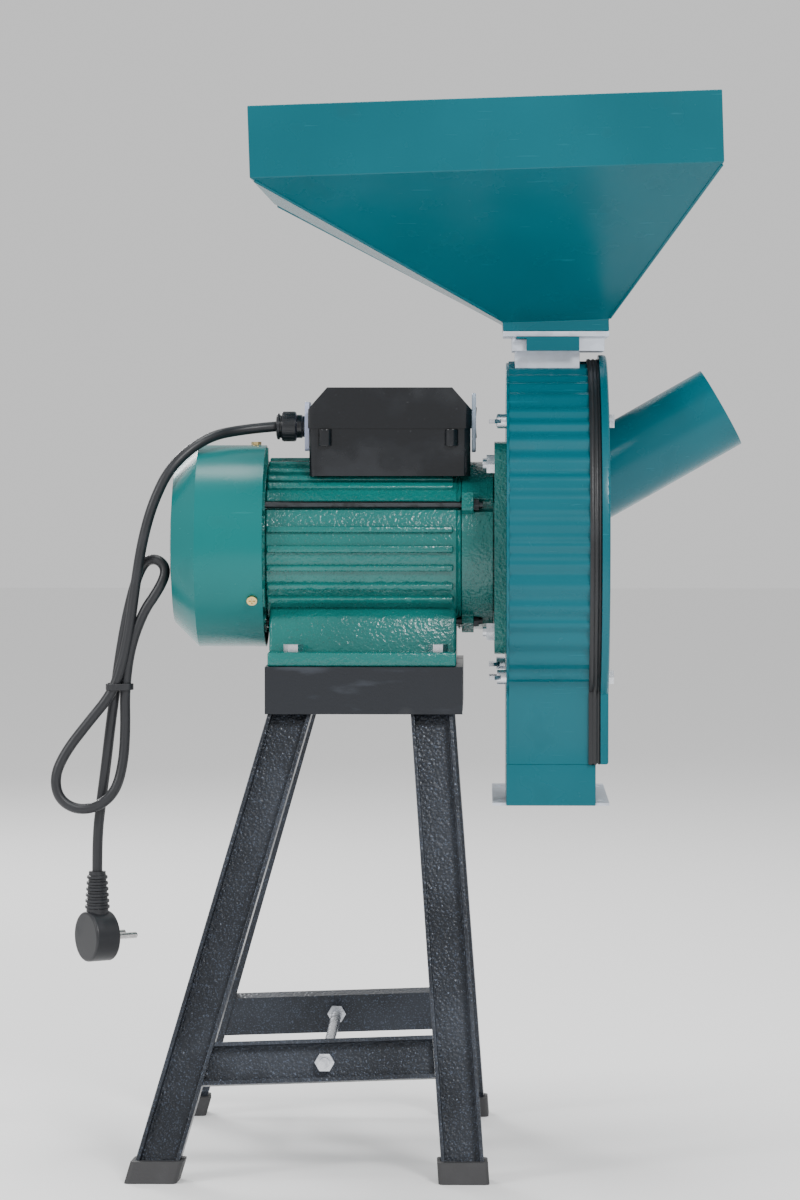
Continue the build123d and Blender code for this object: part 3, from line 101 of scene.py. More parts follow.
class Recipe:
    """One material: its shader and the nodes that feed it."""

    def __init__(self, name, **constants):
        self.material = bpy.data.materials.new(name + "_finish")
        self.material.use_nodes = True
        self.tree = self.material.node_tree
        self.shader = self.tree.nodes["Principled BSDF"]
        self.place = self.node("TexCoord", output="Object")
        for key, value in constants.items():
            self.shader.inputs[key.replace("_", " ")].default_value = value

    def node(self, kind, settings=None, inputs=None, output=0):
        """Adds a node; settings are set first, then its sockets take values or links."""
        item = self.tree.nodes.new("ShaderNode" + kind)
        for key, value in (settings or {}).items():
            setattr(item, key, value)
        for key, value in (inputs or {}).items():
            if isinstance(value, Socket):
                self.tree.links.new(value.socket, item.inputs[key])
            else:
                item.inputs[key].default_value = value
        return Socket(self, item.outputs[output])

    def noise(self, scale, detail=2.0, stretch=(1, 1, 1), turn=(0, 0, 0)):
        """Noise with scale features per metre, squeezed and turned by its two vectors."""
        spread = self.node("Mapping", {}, {
            "Vector": self.place, "Scale": stretch, "Rotation": turn})
        return self.node("TexNoise", {}, {"Vector": spread, "Scale": scale, "Detail": detail})

    def cells(self, scale, output="Distance", feature="F1"):
        """Rounded cells with scale cells per metre."""
        return self.node("TexVoronoi", {"feature": feature},
                         {"Vector": self.place, "Scale": scale}, output)

    def band(self, value, low, high):
        """0 below low, 1 above high, smooth between."""
        return self.node("MapRange", {"interpolation_type": "SMOOTHSTEP"},
                         {"Value": value, "From Min": low, "From Max": high})

    def blend(self, share, first, second):
        """A colour between two colours."""
        return self.node("Mix", {"data_type": "RGBA"},
                         {0: share, 6: self.colour(first), 7: self.colour(second)}, 2)

    @staticmethod
    def colour(value):
        return value if isinstance(value, Socket) else (*value, 1.0)

    def bump(self, height, depth, below=None):
        """Relief of a depth in metres, laid over another relief."""
        inputs = {"Height": height, "Distance": depth, "Strength": 1.0}
        if below is not None:
            inputs["Normal"] = below
        return self.node("Bump", {}, inputs)

    def feed(self, **sockets):
        """Links the varying sockets and hands back the finished material."""
        for key, value in sockets.items():
            self.tree.links.new(value.socket, self.shader.inputs[key.replace("_", " ")])
        return self.material


def shade(colour, factor):
    """A lighter or darker version of a colour."""
    return tuple(min(1.0, part * factor) for part in colour)


# ---- finishes -----------------------------------------------------------------------------------
def sheet_paint(name, colour, peel_depth=0.00004):
    """Gloss paint on thin sheet: shallow dents, fine peel, clouding and hairline scratches."""
    mix = Recipe(name, IOR=1.36)
    cloud = mix.noise(6, 3)
    grime = mix.band(mix.noise(38, 5), 0.55, 0.75)
    peel = mix.noise(420, 1.5)
    dents = mix.noise(16, 1.0)
    scratches = mix.band(mix.noise(24, 2, stretch=(1, 9, 22), turn=(0.4, 0.9, 0.2)), 0.71, 0.75)
    base = mix.blend(mix.band(cloud, 0.3, 0.7), shade(colour, 0.90), shade(colour, 1.10))
    base = mix.blend(grime * 0.14, base, shade(colour, 0.55))
    base = mix.blend(scratches * 0.22, base, shade(colour, 2.0))
    relief = mix.bump(peel, peel_depth, mix.bump(dents, 0.0012))
    return mix.feed(Base_Color=base, Normal=relief,
                    Roughness=0.27 + 0.08 * grime + 0.16 * scratches)


def cast_paint(name, colour):
    """Gloss paint over rough cast metal, which breaks the light into sparkles."""
    mix = Recipe(name, Specular_IOR_Level=0.6)
    grain = mix.noise(400, 2.5)
    swells = mix.noise(150, 2)
    cloud = mix.noise(9, 3)
    pits_and_pit_shade = mix.band(mix.cells(230), 0.32, 0.10)
    base = mix.blend(mix.band(cloud, 0.3, 0.7), shade(colour, 0.82), shade(colour, 1.12))
    # darker in the pits: painted shade, as the pits have no relief of their own; they are rougher
    # as well
    base = mix.blend(pits_and_pit_shade * 0.28, base, shade(colour, 0.45))
    relief = mix.bump(grain, 0.0006, mix.bump(swells, 0.0006))
    return mix.feed(Base_Color=base, Normal=relief, Roughness=0.22 + 0.16 * pits_and_pit_shade)


def hammered_paint(name, colour, fleck):
    """Dark hammered enamel: rounded dimples and fine pale flecks."""
    mix = Recipe(name, Specular_IOR_Level=0.5)
    dimples = mix.cells(460, feature="SMOOTH_F1")
    fine = mix.noise(900, 3)
    cloud = mix.band(mix.noise(14, 3), 0.35, 0.7)
    flecks = mix.band(fine, 0.56, 0.66)
    base = mix.blend(cloud, shade(colour, 0.7), shade(colour, 1.35))
    base = mix.blend(flecks * 0.55, base, fleck)
    relief = mix.bump(fine, 0.00012, mix.bump(dimples, 0.00045))
    return mix.feed(Base_Color=base, Normal=relief, Roughness=0.26 + 0.18 * cloud,
                    Metallic=0.25 + 0.45 * flecks)


def scuffed_paint(name, colour):
    """Dark smooth paint with dents and grey rub marks."""
    mix = Recipe(name, Specular_IOR_Level=0.4)
    dents = mix.band(mix.cells(28), 0.25, 0.02)
    rubs = mix.band(mix.noise(22, 5, stretch=(1, 2, 4)), 0.56, 0.74)
    grain = mix.noise(700, 2)
    base = mix.blend(rubs * 0.5, colour, shade(colour, 4.0))
    relief = mix.bump(grain, 0.00010, mix.bump(dents, -0.0008))
    return mix.feed(Base_Color=base, Normal=relief, Roughness=0.32 + 0.22 * rubs)


def gloss_plastic(name, colour):
    """Moulded glossy plastic with handling scratches and faint sink marks."""
    mix = Recipe(name, IOR=1.5)
    scratches = mix.band(mix.noise(60, 2, stretch=(8, 1, 16), turn=(0.2, 0.7, 0.5)), 0.72, 0.77)
    haze = mix.band(mix.noise(26, 4), 0.42, 0.68)
    base = mix.blend(
        scratches * 0.3, mix.blend(haze, colour, shade(colour, 1.8)), (0.10, 0.11, 0.12))
    relief = mix.bump(mix.noise(320, 1), 0.00003, mix.bump(mix.noise(34, 1), 0.0006))
    return mix.feed(Base_Color=base, Normal=relief,
                    Roughness=0.16 + 0.20 * haze + 0.25 * scratches)


def moulded(name, colour, roughness, grain_scale=900, depth=0.00012):
    """Matte moulded rubber or plastic with a fine grain and dusty patches."""
    mix = Recipe(name)
    grain = mix.noise(grain_scale, 3)
    dust = mix.band(mix.noise(45, 4), 0.5, 0.75)
    base = mix.blend(dust * 0.45, colour, shade(colour, 2.1))
    return mix.feed(Base_Color=base, Normal=mix.bump(grain, depth),
                    Roughness=roughness + 0.15 * dust)


def plated(name, colour, tarnish, roughness=0.24, depth=0.00005):
    """Plated steel: bright metal with tarnish in patches and fine tool marks."""
    mix = Recipe(name, Metallic=1.0)
    patches = mix.band(mix.noise(140, 4), 0.45, 0.72)
    marks = mix.noise(700, 2, stretch=(1, 1, 6))
    base = mix.blend(patches * 0.6, colour, tarnish)
    return mix.feed(Base_Color=base, Normal=mix.bump(marks, depth),
                    Roughness=roughness + 0.22 * patches)


def galvanised(name, colour):
    """Galvanised sheet: crystal spangle with pale bloom."""
    mix = Recipe(name, Metallic=0.55)
    spangle = mix.node("SeparateColor", {}, {0: mix.cells(150, "Color")})
    bloom = mix.band(mix.noise(30, 4), 0.4, 0.7)
    base = mix.blend(spangle, shade(colour, 0.90), shade(colour, 1.08))
    base = mix.blend(bloom * 0.35, base, (0.80, 0.82, 0.86))
    relief = mix.bump(mix.noise(500, 2), 0.00003)
    return mix.feed(Base_Color=base, Normal=relief, Roughness=0.38 + 0.14 * spangle + 0.1 * bloom)


def laminated(name, colour):
    """Stacked steel sheets: fine dark lines across the shaft's direction."""
    mix = Recipe(name, Metallic=0.9)
    lines = mix.node("TexWave", {"bands_direction": "X"}, {"Vector": mix.place, "Scale": 160.0})
    base = mix.blend(lines, shade(colour, 0.6), shade(colour, 1.2))
    return mix.feed(Base_Color=base, Normal=mix.bump(lines, 0.0001), Roughness=0.35 + 0.2 * lines)


def wound_copper(name, colour):
    """Varnished copper wire laid in turns."""
    mix = Recipe(name, Metallic=0.8, Coat_Weight=0.5)
    turns = mix.node("TexWave", {"bands_direction": "Y"}, {
        "Vector": mix.place, "Scale": 180.0, "Distortion": 2.0, "Detail": 2.0})
    # darker in the grooves between the turns: painted shade
    base = mix.blend(turns, shade(colour, 0.4), shade(colour, 1.2))
    return mix.feed(Base_Color=base, Normal=mix.bump(turns, 0.0004), Roughness=0.25 + 0.2 * turns)


def clear_plastic(name, colour):
    """Milky clear plastic of the switch's splash cover."""
    mix = Recipe(name, Transmission_Weight=0.35, IOR=1.46)
    haze = mix.band(mix.noise(60, 3), 0.35, 0.75)
    base = mix.blend(haze, colour, shade(colour, 1.12))
    return mix.feed(Base_Color=base, Normal=mix.bump(mix.noise(200, 2), 0.00008),
                    Roughness=0.18 + 0.2 * haze)


# ---- what a user may change ---------------------------------------------------------------------
def paint_prop(name, description, default):
    return bpy.props.FloatVectorProperty(
        name=name, description=description, default=default, subtype="COLOR", min=0, max=1)


def length_prop(name, description, default):
    return bpy.props.FloatProperty(
        name=name, description=description, default=default, min=0, unit="LENGTH")


class MillColours(bpy.types.PropertyGroup):
    """Paints and plastics."""
    sheet: paint_prop(
        "Sheet paint", "Gloss paint of the hopper, drum and cover", (0.0, 0.098, 0.128))
    motor: paint_prop("Motor paint", "Paint of the motor's castings", (0.0, 0.130, 0.118))
    fan_sheet: paint_prop("Fan cover paint", "Gloss paint of the fan cover", (0.0, 0.128, 0.128))
    stand: paint_prop("Stand enamel", "Hammered enamel of the stand", (0.020, 0.024, 0.032))
    fleck: paint_prop("Enamel fleck", "Pale flecks in the stand's enamel", (0.13, 0.16, 0.22))
    box: paint_prop("Capacitor box", "Plastic of the capacitor box", (0.006, 0.007, 0.009))
    rubber: paint_prop("Rubber feet", "Rubber of the four feet", (0.030, 0.030, 0.032))
    sheath: paint_prop(
        "Cord sheath", "Sheath of the power cord and its plug", (0.011, 0.012, 0.015))


class MillSizes(bpy.types.PropertyGroup):
    """Sizes of the finish, in metres."""
    fold: length_prop("Sheet fold", "Rounding of folded sheet edges", 0.0020)
    casting: length_prop("Casting edge", "Rounding of cast edges", 0.0016)
    moulding: length_prop("Moulding edge", "Rounding of moulded plastic edges", 0.0020)
    cord_width: length_prop("Cord diameter", "Outside diameter of the power cord", 0.008)
    cord_length: length_prop("Cord length", "Real length of the power cord", 0.8696)
    shell: length_prop("Motor shell radius", "Radius of the motor housing between ridges", 0.0652)
    ridge: length_prop("Ridge height", "How far the housing's ridges stand proud", 0.0034)


def sizes():
    return bpy.context.scene.mill_sizes


# ---- making and finishing meshes ----------------------------------------------------------------
SEED_SIZE = 0.001        # the plane that is merged into a wire's first vertex
SEAM_GAP = 0.00002       # vertices closer than this are one along a turned seam
WELD_GAP = 0.00001       # vertices closer than this are one in a copied or closed mesh
FLAT_ANGLE = radians(0.6)
SMOOTH_ANGLE = radians(42)


def start_fresh():
    """Object mode with nothing selected."""
    if bpy.context.object and bpy.context.object.mode != "OBJECT":
        bpy.ops.object.mode_set(mode="OBJECT")
    bpy.ops.object.select_all(action="DESELECT")


def take(piece):
    """Makes one object the only selected and active one."""
    start_fresh()
    piece.select_set(True)
    bpy.context.view_layer.objects.active = piece
    return piece


def edit(piece, everything=True, kind="VERT"):
    """Edit mode with all of the mesh selected, or none of it."""
    take(piece)
    bpy.ops.object.mode_set(mode="EDIT")
    bpy.ops.mesh.select_mode(type=kind)
    bpy.ops.mesh.select_all(action="SELECT" if everything else "DESELECT")


def pick(piece, test):
    """Selects the faces that pass a test, in edit mode."""
    edit(piece, False, "FACE")
    mesh = bmesh.from_edit_mesh(piece.data)
    for face in mesh.faces:
        if test(face):
            face.select_set(True)
    mesh.select_flush_mode()
    bmesh.update_edit_mesh(piece.data)


def settle(piece):
    """Brings the object to the origin, unturned and unscaled."""
    take(piece)
    bpy.ops.object.transform_apply(location=True, rotation=True, scale=True)
    return piece


def block(low, high):
    """A box between two corners, ready to be shaped."""
    start_fresh()
    low, high = Vector(low), Vector(high)
    bpy.ops.mesh.primitive_cube_add(size=1, location=(low + high) / 2, scale=high - low)
    return settle(bpy.context.object)


def rod(start, end, radius, sides=48):
    """A round bar between two points."""
    start_fresh()
    start, end = Vector(start), Vector(end)
    run = end - start
    bpy.ops.mesh.primitive_cylinder_add(
        vertices=sides, radius=radius, depth=run.length, location=(start + end) / 2,
        rotation=run.to_track_quat("Z", "Y").to_euler())
    return settle(bpy.context.object)


def wire(points):
    """One vertex extruded along a line of points."""
    start_fresh()
    bpy.ops.mesh.primitive_plane_add(size=SEED_SIZE, location=points[0])
    piece = settle(bpy.context.object)
    edit(piece)
    bpy.ops.mesh.merge(type="CENTER")
    for before, after in zip(points, points[1:]):
        bpy.ops.mesh.extrude_region_move(
            TRANSFORM_OT_translate={"value": Vector(after) - Vector(before)})
    return piece


def slab(points, run):
    """A flat outline extruded along a run, as a closed solid."""
    piece = wire(points)
    bpy.ops.mesh.select_all(action="SELECT")
    bpy.ops.mesh.edge_face_add()
    bpy.ops.mesh.extrude_region_move(TRANSFORM_OT_translate={"value": run})
    bpy.ops.mesh.select_all(action="SELECT")
    bpy.ops.mesh.normals_make_consistent(inside=False)
    bpy.ops.object.mode_set(mode="OBJECT")
    return piece


def turned(profile, centre, axis, steps=64):
    """A profile spun round an axis, seams and poles closed."""
    piece = wire(profile)
    bpy.ops.mesh.select_all(action="SELECT")
    bpy.ops.mesh.spin(steps=steps, angle=2 * pi, center=centre, axis=axis)
    bpy.ops.mesh.select_all(action="SELECT")
    bpy.ops.mesh.remove_doubles(threshold=SEAM_GAP)
    bpy.ops.mesh.normals_make_consistent(inside=False)
    bpy.ops.object.mode_set(mode="OBJECT")
    return piece


def modify(piece, kind, **settings):
    """Adds a modifier, sets it and applies it."""
    take(piece)
    bpy.ops.object.modifier_add(type=kind)
    modifier = piece.modifiers[-1]
    for key, value in settings.items():
        setattr(modifier, key, value)
    bpy.ops.object.modifier_apply(modifier=modifier.name)
    return piece


def shade_evenly(piece, angle):
    """Smooth shading across edges flatter than an angle."""
    take(piece)
    bpy.ops.object.shade_smooth_by_angle(angle=angle)


def soften(piece, width, segments=2, corner=30):
    """Rounds the sharp edges and shades the faces evenly."""
    modify(piece, "BEVEL", width=width, segments=segments, limit_method="ANGLE",
           angle_limit=radians(corner), use_clamp_overlap=True)
    shade_evenly(piece, SMOOTH_ANGLE)
    return modify(piece, "WEIGHTED_NORMAL", keep_sharp=True)


def copy_of(piece):
    """A copy with its own mesh."""
    take(piece)
    bpy.ops.object.duplicate(linked=False)
    return bpy.context.object


def join(first, *others):
    """Several meshes as one piece."""
    take(first)
    for other in others:
        other.select_set(True)
    bpy.ops.object.join()
    return first


def traced(node):
    """A merged copy of a CAD node's mesh, ready to be softened."""
    twin = copy_of(NODES[node])
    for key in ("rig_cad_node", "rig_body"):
        if key in twin:
            del twin[key]
    twin.parent = None
    twin.matrix_world = Matrix.Identity(4)
    twin.data.materials.clear()
    edit(twin)
    bpy.ops.mesh.remove_doubles(threshold=WELD_GAP)
    bpy.ops.mesh.dissolve_limited(angle_limit=FLAT_ANGLE)
    bpy.ops.object.mode_set(mode="OBJECT")
    if twin.data.has_custom_normals:
        take(twin)
        bpy.ops.mesh.customdata_custom_splitnormals_clear()
    return twin


# the tie bolts get dark steel as painted shade: their dark colour stands in for the shade of the
# grooves they lie in
SPECIAL = {"stand_rails": "scuffed_rail_paint", "motor_tie_bolts": "dark_steel"}


def finish_of(name):
    """The finish made for a material slot or for one special piece."""
    return bpy.data.materials[name + "_finish"]


def hand_over(piece, name, *nodes, finish=None):
    """Names a finished piece, paints it and gives it to the body of the CAD nodes it stands for."""
    if piece.type == "MESH":
        settle(piece)
    piece.name = piece.data.name = name
    kind = SLOTS[nodes[0]]
    piece.data.materials.clear()
    piece.data.materials.append(finish_of(finish or kind))
    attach(piece, NODES[nodes[0]]["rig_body"])
    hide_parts(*nodes)
    return piece


# ---- the pieces ---------------------------------------------------------------------------------
class MILL_OT_finishes(bpy.types.Operator):
    """Makes every finish and gives the CAD nodes theirs"""
    bl_idname = "mill.finishes"
    bl_label = "Finishes"

    def execute(self, context):
        tint = context.scene.mill_colours
        sheet_paint("teal_sheet_paint", tuple(tint.sheet))
        sheet_paint("teal_motor_sheet_paint", tuple(tint.fan_sheet), 0.00003)
        cast_paint("teal_cast_paint", tuple(tint.motor))
        hammered_paint("black_hammered_paint", tuple(tint.stand), tuple(tint.fleck))
        scuffed_paint("scuffed_rail_paint", shade(tuple(tint.stand), 0.55))
        gloss_plastic("black_gloss_plastic", tuple(tint.box))
        clear_plastic("clear_switch_plastic", (0.62, 0.72, 0.86))
        moulded("black_plastic", (0.02, 0.02, 0.022), 0.4)
        moulded("pale_plate_plastic", (0.46, 0.50, 0.68), 0.35, 300, 0.00004)
        moulded("grey_rubber", tuple(tint.rubber), 0.62, 700, 0.0002)
        moulded("black_rubber", (0.010, 0.011, 0.013), 0.42, 500, 0.00015)
        moulded("cord_sheath", tuple(tint.sheath), 0.42, 800, 0.00006)
        plated("zinc_plated_steel", (0.66, 0.68, 0.72), (0.40, 0.42, 0.46))
        plated("yellow_zinc", (0.74, 0.56, 0.24), (0.50, 0.44, 0.38))
        plated("bright_steel", (0.60, 0.60, 0.61), (0.38, 0.36, 0.34), 0.3)
        # dark steel, given to the tie bolts as painted shade of their grooves
        plated("dark_steel", (0.06, 0.065, 0.07), (0.03, 0.03, 0.03), 0.4)
        plated("nickel_pins", (0.72, 0.71, 0.70), (0.50, 0.49, 0.47), 0.18)
        plated("capacitor_aluminium", (0.70, 0.71, 0.73), (0.56, 0.57, 0.60), 0.35)
        galvanised("galvanised_sheet", (0.56, 0.60, 0.68))
        laminated("electrical_steel", (0.36, 0.37, 0.40))
        wound_copper("copper_winding", (0.62, 0.27, 0.12))
        for name, node in NODES.items():
            finish = SPECIAL.get(name, SLOTS[name])
            node.data.materials.clear()
            node.data.materials.append(finish_of(finish))
        return {"FINISHED"}


class MILL_OT_cord(bpy.types.Operator):
    """Lays the power cord from the gland, folded once beside the stand, to its hanging plug"""
    bl_idname = "mill.cord"
    bl_label = "Power cord"

    route = (
        (-0.128, 0, 0.564), (-0.153, -0.003, 0.562), (-0.181, -0.026, 0.556),
        (-0.207, -0.041, 0.5345), (-0.221, -0.043, 0.506), (-0.2295, -0.042, 0.476),
        (-0.235, -0.041, 0.442), (-0.240, -0.0405, 0.405), (-0.246, -0.040, 0.378),
        (-0.254, -0.040, 0.357), (-0.272, -0.042, 0.335), (-0.289, -0.044, 0.313),
        (-0.2975, -0.046, 0.294), (-0.2945, -0.047, 0.277), (-0.281, -0.046, 0.268),
        (-0.264, -0.044, 0.270), (-0.2505, -0.041, 0.282), (-0.2448, -0.038, 0.304),
        (-0.2432, -0.0365, 0.331), (-0.2438, -0.0365, 0.360), (-0.2395, -0.038, 0.393),
        (-0.229, -0.040, 0.421), (-0.2185, -0.0405, 0.436), (-0.2121, -0.0395, 0.4486),
        (-0.2124, -0.038, 0.4562), (-0.2181, -0.036, 0.4614), (-0.2257, -0.0335, 0.4611),
        (-0.2309, -0.0318, 0.4554), (-0.236, -0.0305, 0.443), (-0.242, -0.0295, 0.420),
        (-0.2475, -0.030, 0.390), (-0.2514, -0.0312, 0.361), (-0.2555, -0.031, 0.331),
        (-0.259, -0.0305, 0.301), (-0.263, -0.030, 0.272), (-0.266, -0.030, 0.245),
        (-0.266, -0.030, 0.219),
    )

    def execute(self, context):
        start_fresh()
        curve = bpy.data.curves.new("power_cord", "CURVE")
        curve.dimensions = "3D"
        line = curve.splines.new("NURBS")
        line.points.add(len(self.route) - 1)
        for point, place in zip(line.points, self.route):
            point.co = (*place, 1)
        line.order_u = 3
        line.use_endpoint_u = True
        curve.resolution_u = 10
        curve.bevel_depth = sizes().cord_width / 2
        curve.bevel_resolution = 6
        curve.use_fill_caps = True
        cord = bpy.data.objects.new("power_cord_run", curve)
        context.scene.collection.objects.link(cord)
        hand_over(cord, "power_cord_run", "power_cord")
        return {"FINISHED"}


class MILL_OT_plug(bpy.types.Operator):
    """Makes the angled plug: round body, flat face and a ribbed strain relief"""
    bl_idname = "mill.plug"
    bl_label = "Plug"

    collars = 6
    first_drop, pitch = 0.0045, 0.0046      # from the body's top to the first collar, then down
    first_radius, widening = 0.0081, 0.00032
    core, lip, chamfer = 0.004, 0.0014, 0.0006

    def execute(self, context):
        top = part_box("plug_body")[1].z
        body = traced("plug_body")
        soften(body, 0.0022, 3, 40)
        rings = []
        cord_end = MILL_OT_cord.route[-1]
        centre = Vector((cord_end[0], cord_end[1], 0))
        core, lip, edge = self.core, self.lip, self.lip - self.chamfer
        for level in range(self.collars):
            height = top - self.first_drop - self.pitch * level
            radius = self.first_radius + self.widening * level
            profile = [centre + Vector((out, 0, height + rise)) for out, rise in (
                (core, lip), (radius - self.chamfer, lip), (radius, edge),
                (radius, -edge), (radius - self.chamfer, -lip), (core, -lip))]
            rings.append(turned(profile, centre, (0, 0, 1), 40))
        join(body, *rings)
        shade_evenly(body, radians(35))
        hand_over(body, "plug_moulding", "plug_body")
        clip = soften(traced("cord_tie"), 0.0004, 2, 40)
        hand_over(clip, "cord_clip", "cord_tie")
        return {"FINISHED"}


class MILL_OT_gland(bpy.types.Operator):
    """Makes the box's cable gland: flange, ribbed nut and a sleeve that tapers to the cord"""
    bl_idname = "mill.gland"
    bl_label = "Cable gland"

    steps = (                               # shares of the length and of the half width
        (1.00, 0.32), (1.00, 0.72), (0.90, 0.72), (0.88, 0.80), (0.70, 0.80), (0.68, 0.98),
        (0.65, 1.00), (0.24, 1.00), (0.20, 0.97), (0.19, 0.80), (0.13, 0.78), (0.12, 0.90),
        (0.04, 0.88), (0.0, 0.60), (0.0, 0.40))
    ribs, rib_radius = 24, 0.0006
    rib_start, rib_end, rib_out = 0.25, 0.64, 0.965

    def execute(self, context):
        low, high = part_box("cable_gland")
        axis = Vector((0, 0, (low.z + high.z) / 2))
        width = (high.z - low.z) / 2
        length = high.x - low.x
        profile = [axis + Vector((low.x + length * along, 0, width * out))
                   for along, out in self.steps]
        sleeve = turned(profile, axis, (1, 0, 0), 64)
        soften(sleeve, 0.0004, 2, 35)
        bars = []
        for turn in range(self.ribs):
            spot = 2 * pi * turn / self.ribs
            out = Vector((0, cos(spot), sin(spot))) * width * self.rib_out
            bars.append(rod(axis + out + Vector((low.x + length * self.rib_start, 0, 0)),
                            axis + out + Vector((low.x + length * self.rib_end, 0, 0)),
                            self.rib_radius, 8))
        join(sleeve, *bars)
        shade_evenly(sleeve, radians(40))
        hand_over(sleeve, "gland_sleeve", "cable_gland")
        return {"FINISHED"}


class MILL_OT_stand(bpy.types.Operator):
    """Rounds the rolled edges of the stand's channels, bars and rubber feet"""
    bl_idname = "mill.stand"
    bl_label = "Stand"

    pieces = (                              # CAD node, name, edge rounding
        ("stand_legs", "leg_channels", 0.0007),
        ("cross_bars", "cross_channels", 0.0007),
        ("stand_rails", "top_rails", 0.0012),
        ("rubber_feet", "foot_caps", 0.0022),
    )

    def execute(self, context):
        for node, name, width in self.pieces:
            hand_over(soften(traced(node), width, 3), name, node, finish=SPECIAL.get(node))
        return {"FINISHED"}


class MILL_OT_sheet_work(bpy.types.Operator):
    """Rounds the folded and pressed edges of the drum's, feed's and fan's sheets"""
    bl_idname = "mill.sheet_work"
    bl_label = "Sheet work"

    pieces = (                              # CAD node, name, edge rounding (None: the fold), corner
        ("drum_back_plate", "drum_back", 0.0017, 30),
        ("mill_cover", "drum_cover", 0.0011, 30),
        ("discharge_duct", "duct", None, 30),
        ("outlet_flanges", "flange_strips", 0.0004, 30),
        ("feed_neck", "chute_neck", 0.0006, 30),
        ("feed_collar", "chute_collar", 0.0006, 30),
        ("shutter", "shutter_plate", 0.0005, 30),
        ("fan_cover", "fan_hood", 0.0045, 24),
    )

    def execute(self, context):
        for node, name, width, corner in self.pieces:
            rounding = sizes().fold if width is None else width
            hand_over(soften(traced(node), rounding, 3, corner), name, node)
        return {"FINISHED"}


class MILL_OT_castings(bpy.types.Operator):
    """Rounds the cast edges of the motor's end shields and flange"""
    bl_idname = "mill.castings"
    bl_label = "Castings"

    pieces = (("drive_end_shield", "drive_shield"), ("rear_end_shield", "rear_shield"),
              ("motor_flange", "drum_flange"))

    def execute(self, context):
        for node, name in self.pieces:
            hand_over(soften(traced(node), sizes().casting, 3, 28), name, node)
        return {"FINISHED"}


AXIS_Z = (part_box("rotor_discs")[0].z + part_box("rotor_discs")[1].z) / 2


def polar(x, radius, angle):
    """A point round the shaft's axis; 0 degrees is +Y and 90 is up."""
    return Vector((x, radius * cos(radians(angle)), AXIS_Z + radius * sin(radians(angle))))


def cut(piece, cutter):
    """Takes one solid out of another."""
    modify(piece, "BOOLEAN", object=cutter, operation="DIFFERENCE", solver="EXACT")
    bpy.data.objects.remove(cutter)
    return piece


def faced_out(piece):
    """Turns every face outwards."""
    edit(piece)
    bpy.ops.mesh.normals_make_consistent(inside=False)
    bpy.ops.object.mode_set(mode="OBJECT")
    return piece


def thicken(piece, thickness):
    """Gives an open sheet a wall inwards and turns every face outwards."""
    face = max(piece.data.polygons, key=lambda item: item.center.z)
    modify(piece, "SOLIDIFY", thickness=thickness, offset=-1 if face.normal.z > 0 else 1)
    return faced_out(piece)


def shell_of(outline, run, thickness):
    """An open outline extruded along a run and given a wall inwards."""
    wall = wire(outline)
    bpy.ops.mesh.select_all(action="SELECT")
    bpy.ops.mesh.extrude_region_move(TRANSFORM_OT_translate={"value": run})
    bpy.ops.object.mode_set(mode="OBJECT")
    return thicken(wall, thickness)


class MILL_OT_drum(bpy.types.Operator):
    """Makes the drum's wall: a round band with soft uneven ripples above two straight sides"""
    bl_idname = "mill.drum"
    bl_label = "Drum wall"

    pitches = (7.2, 5.6, 6.6, 8.0, 5.4, 6.2, 7.6, 6.0, 5.2, 7.0)
    ripple = ((0.0, 0.05), (0.2, 0.55), (0.42, 1.0), (0.6, 0.8), (0.82, 0.2))
    first_angle, last_angle, longest_angle = -46.0, 224, 226
    ripple_depth, wall = 0.0026, 0.0015
    half_share = 0.6536                     # the straight sides' distance, as a share of the crest
    shoulder = 0.012                        # from a side's top to the first ripple
    neck_gap = 0.0002
    cut_below, cut_above = 0.05, 0.02       # the opening's cutter, from the axis and the crest

    def execute(self, context):
        low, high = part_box("drum_wall")
        crest = high.z - AXIS_Z
        half = crest * self.half_share
        ways, spot, number = [], self.first_angle, 0
        while spot < self.last_angle:
            pitch = self.pitches[number % len(self.pitches)]
            ways += [(spot + pitch * share, crest - self.ripple_depth * (1 - rise))
                     for share, rise in self.ripple]
            spot, number = spot + pitch, number + 1
        band = [polar(low.x, radius, angle) for angle, radius in ways if angle < self.longest_angle]
        outline = [Vector((low.x, half, low.z)),
                   Vector((low.x, half, band[0].z - self.shoulder)), *band,
                   Vector((low.x, -half, band[-1].z - self.shoulder)),
                   Vector((low.x, -half, low.z))]
        wall = shell_of(outline, (high.x - low.x, 0, 0), self.wall)
        neck_low, neck_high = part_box("feed_neck")
        gap = self.neck_gap
        cut(wall, block((neck_low.x - gap, neck_low.y - gap, AXIS_Z + self.cut_below),
                        (neck_high.x + gap, neck_high.y + gap, high.z + self.cut_above)))
        shade_evenly(wall, radians(38))
        hand_over(wall, "drum_shell", "drum_wall")
        return {"FINISHED"}


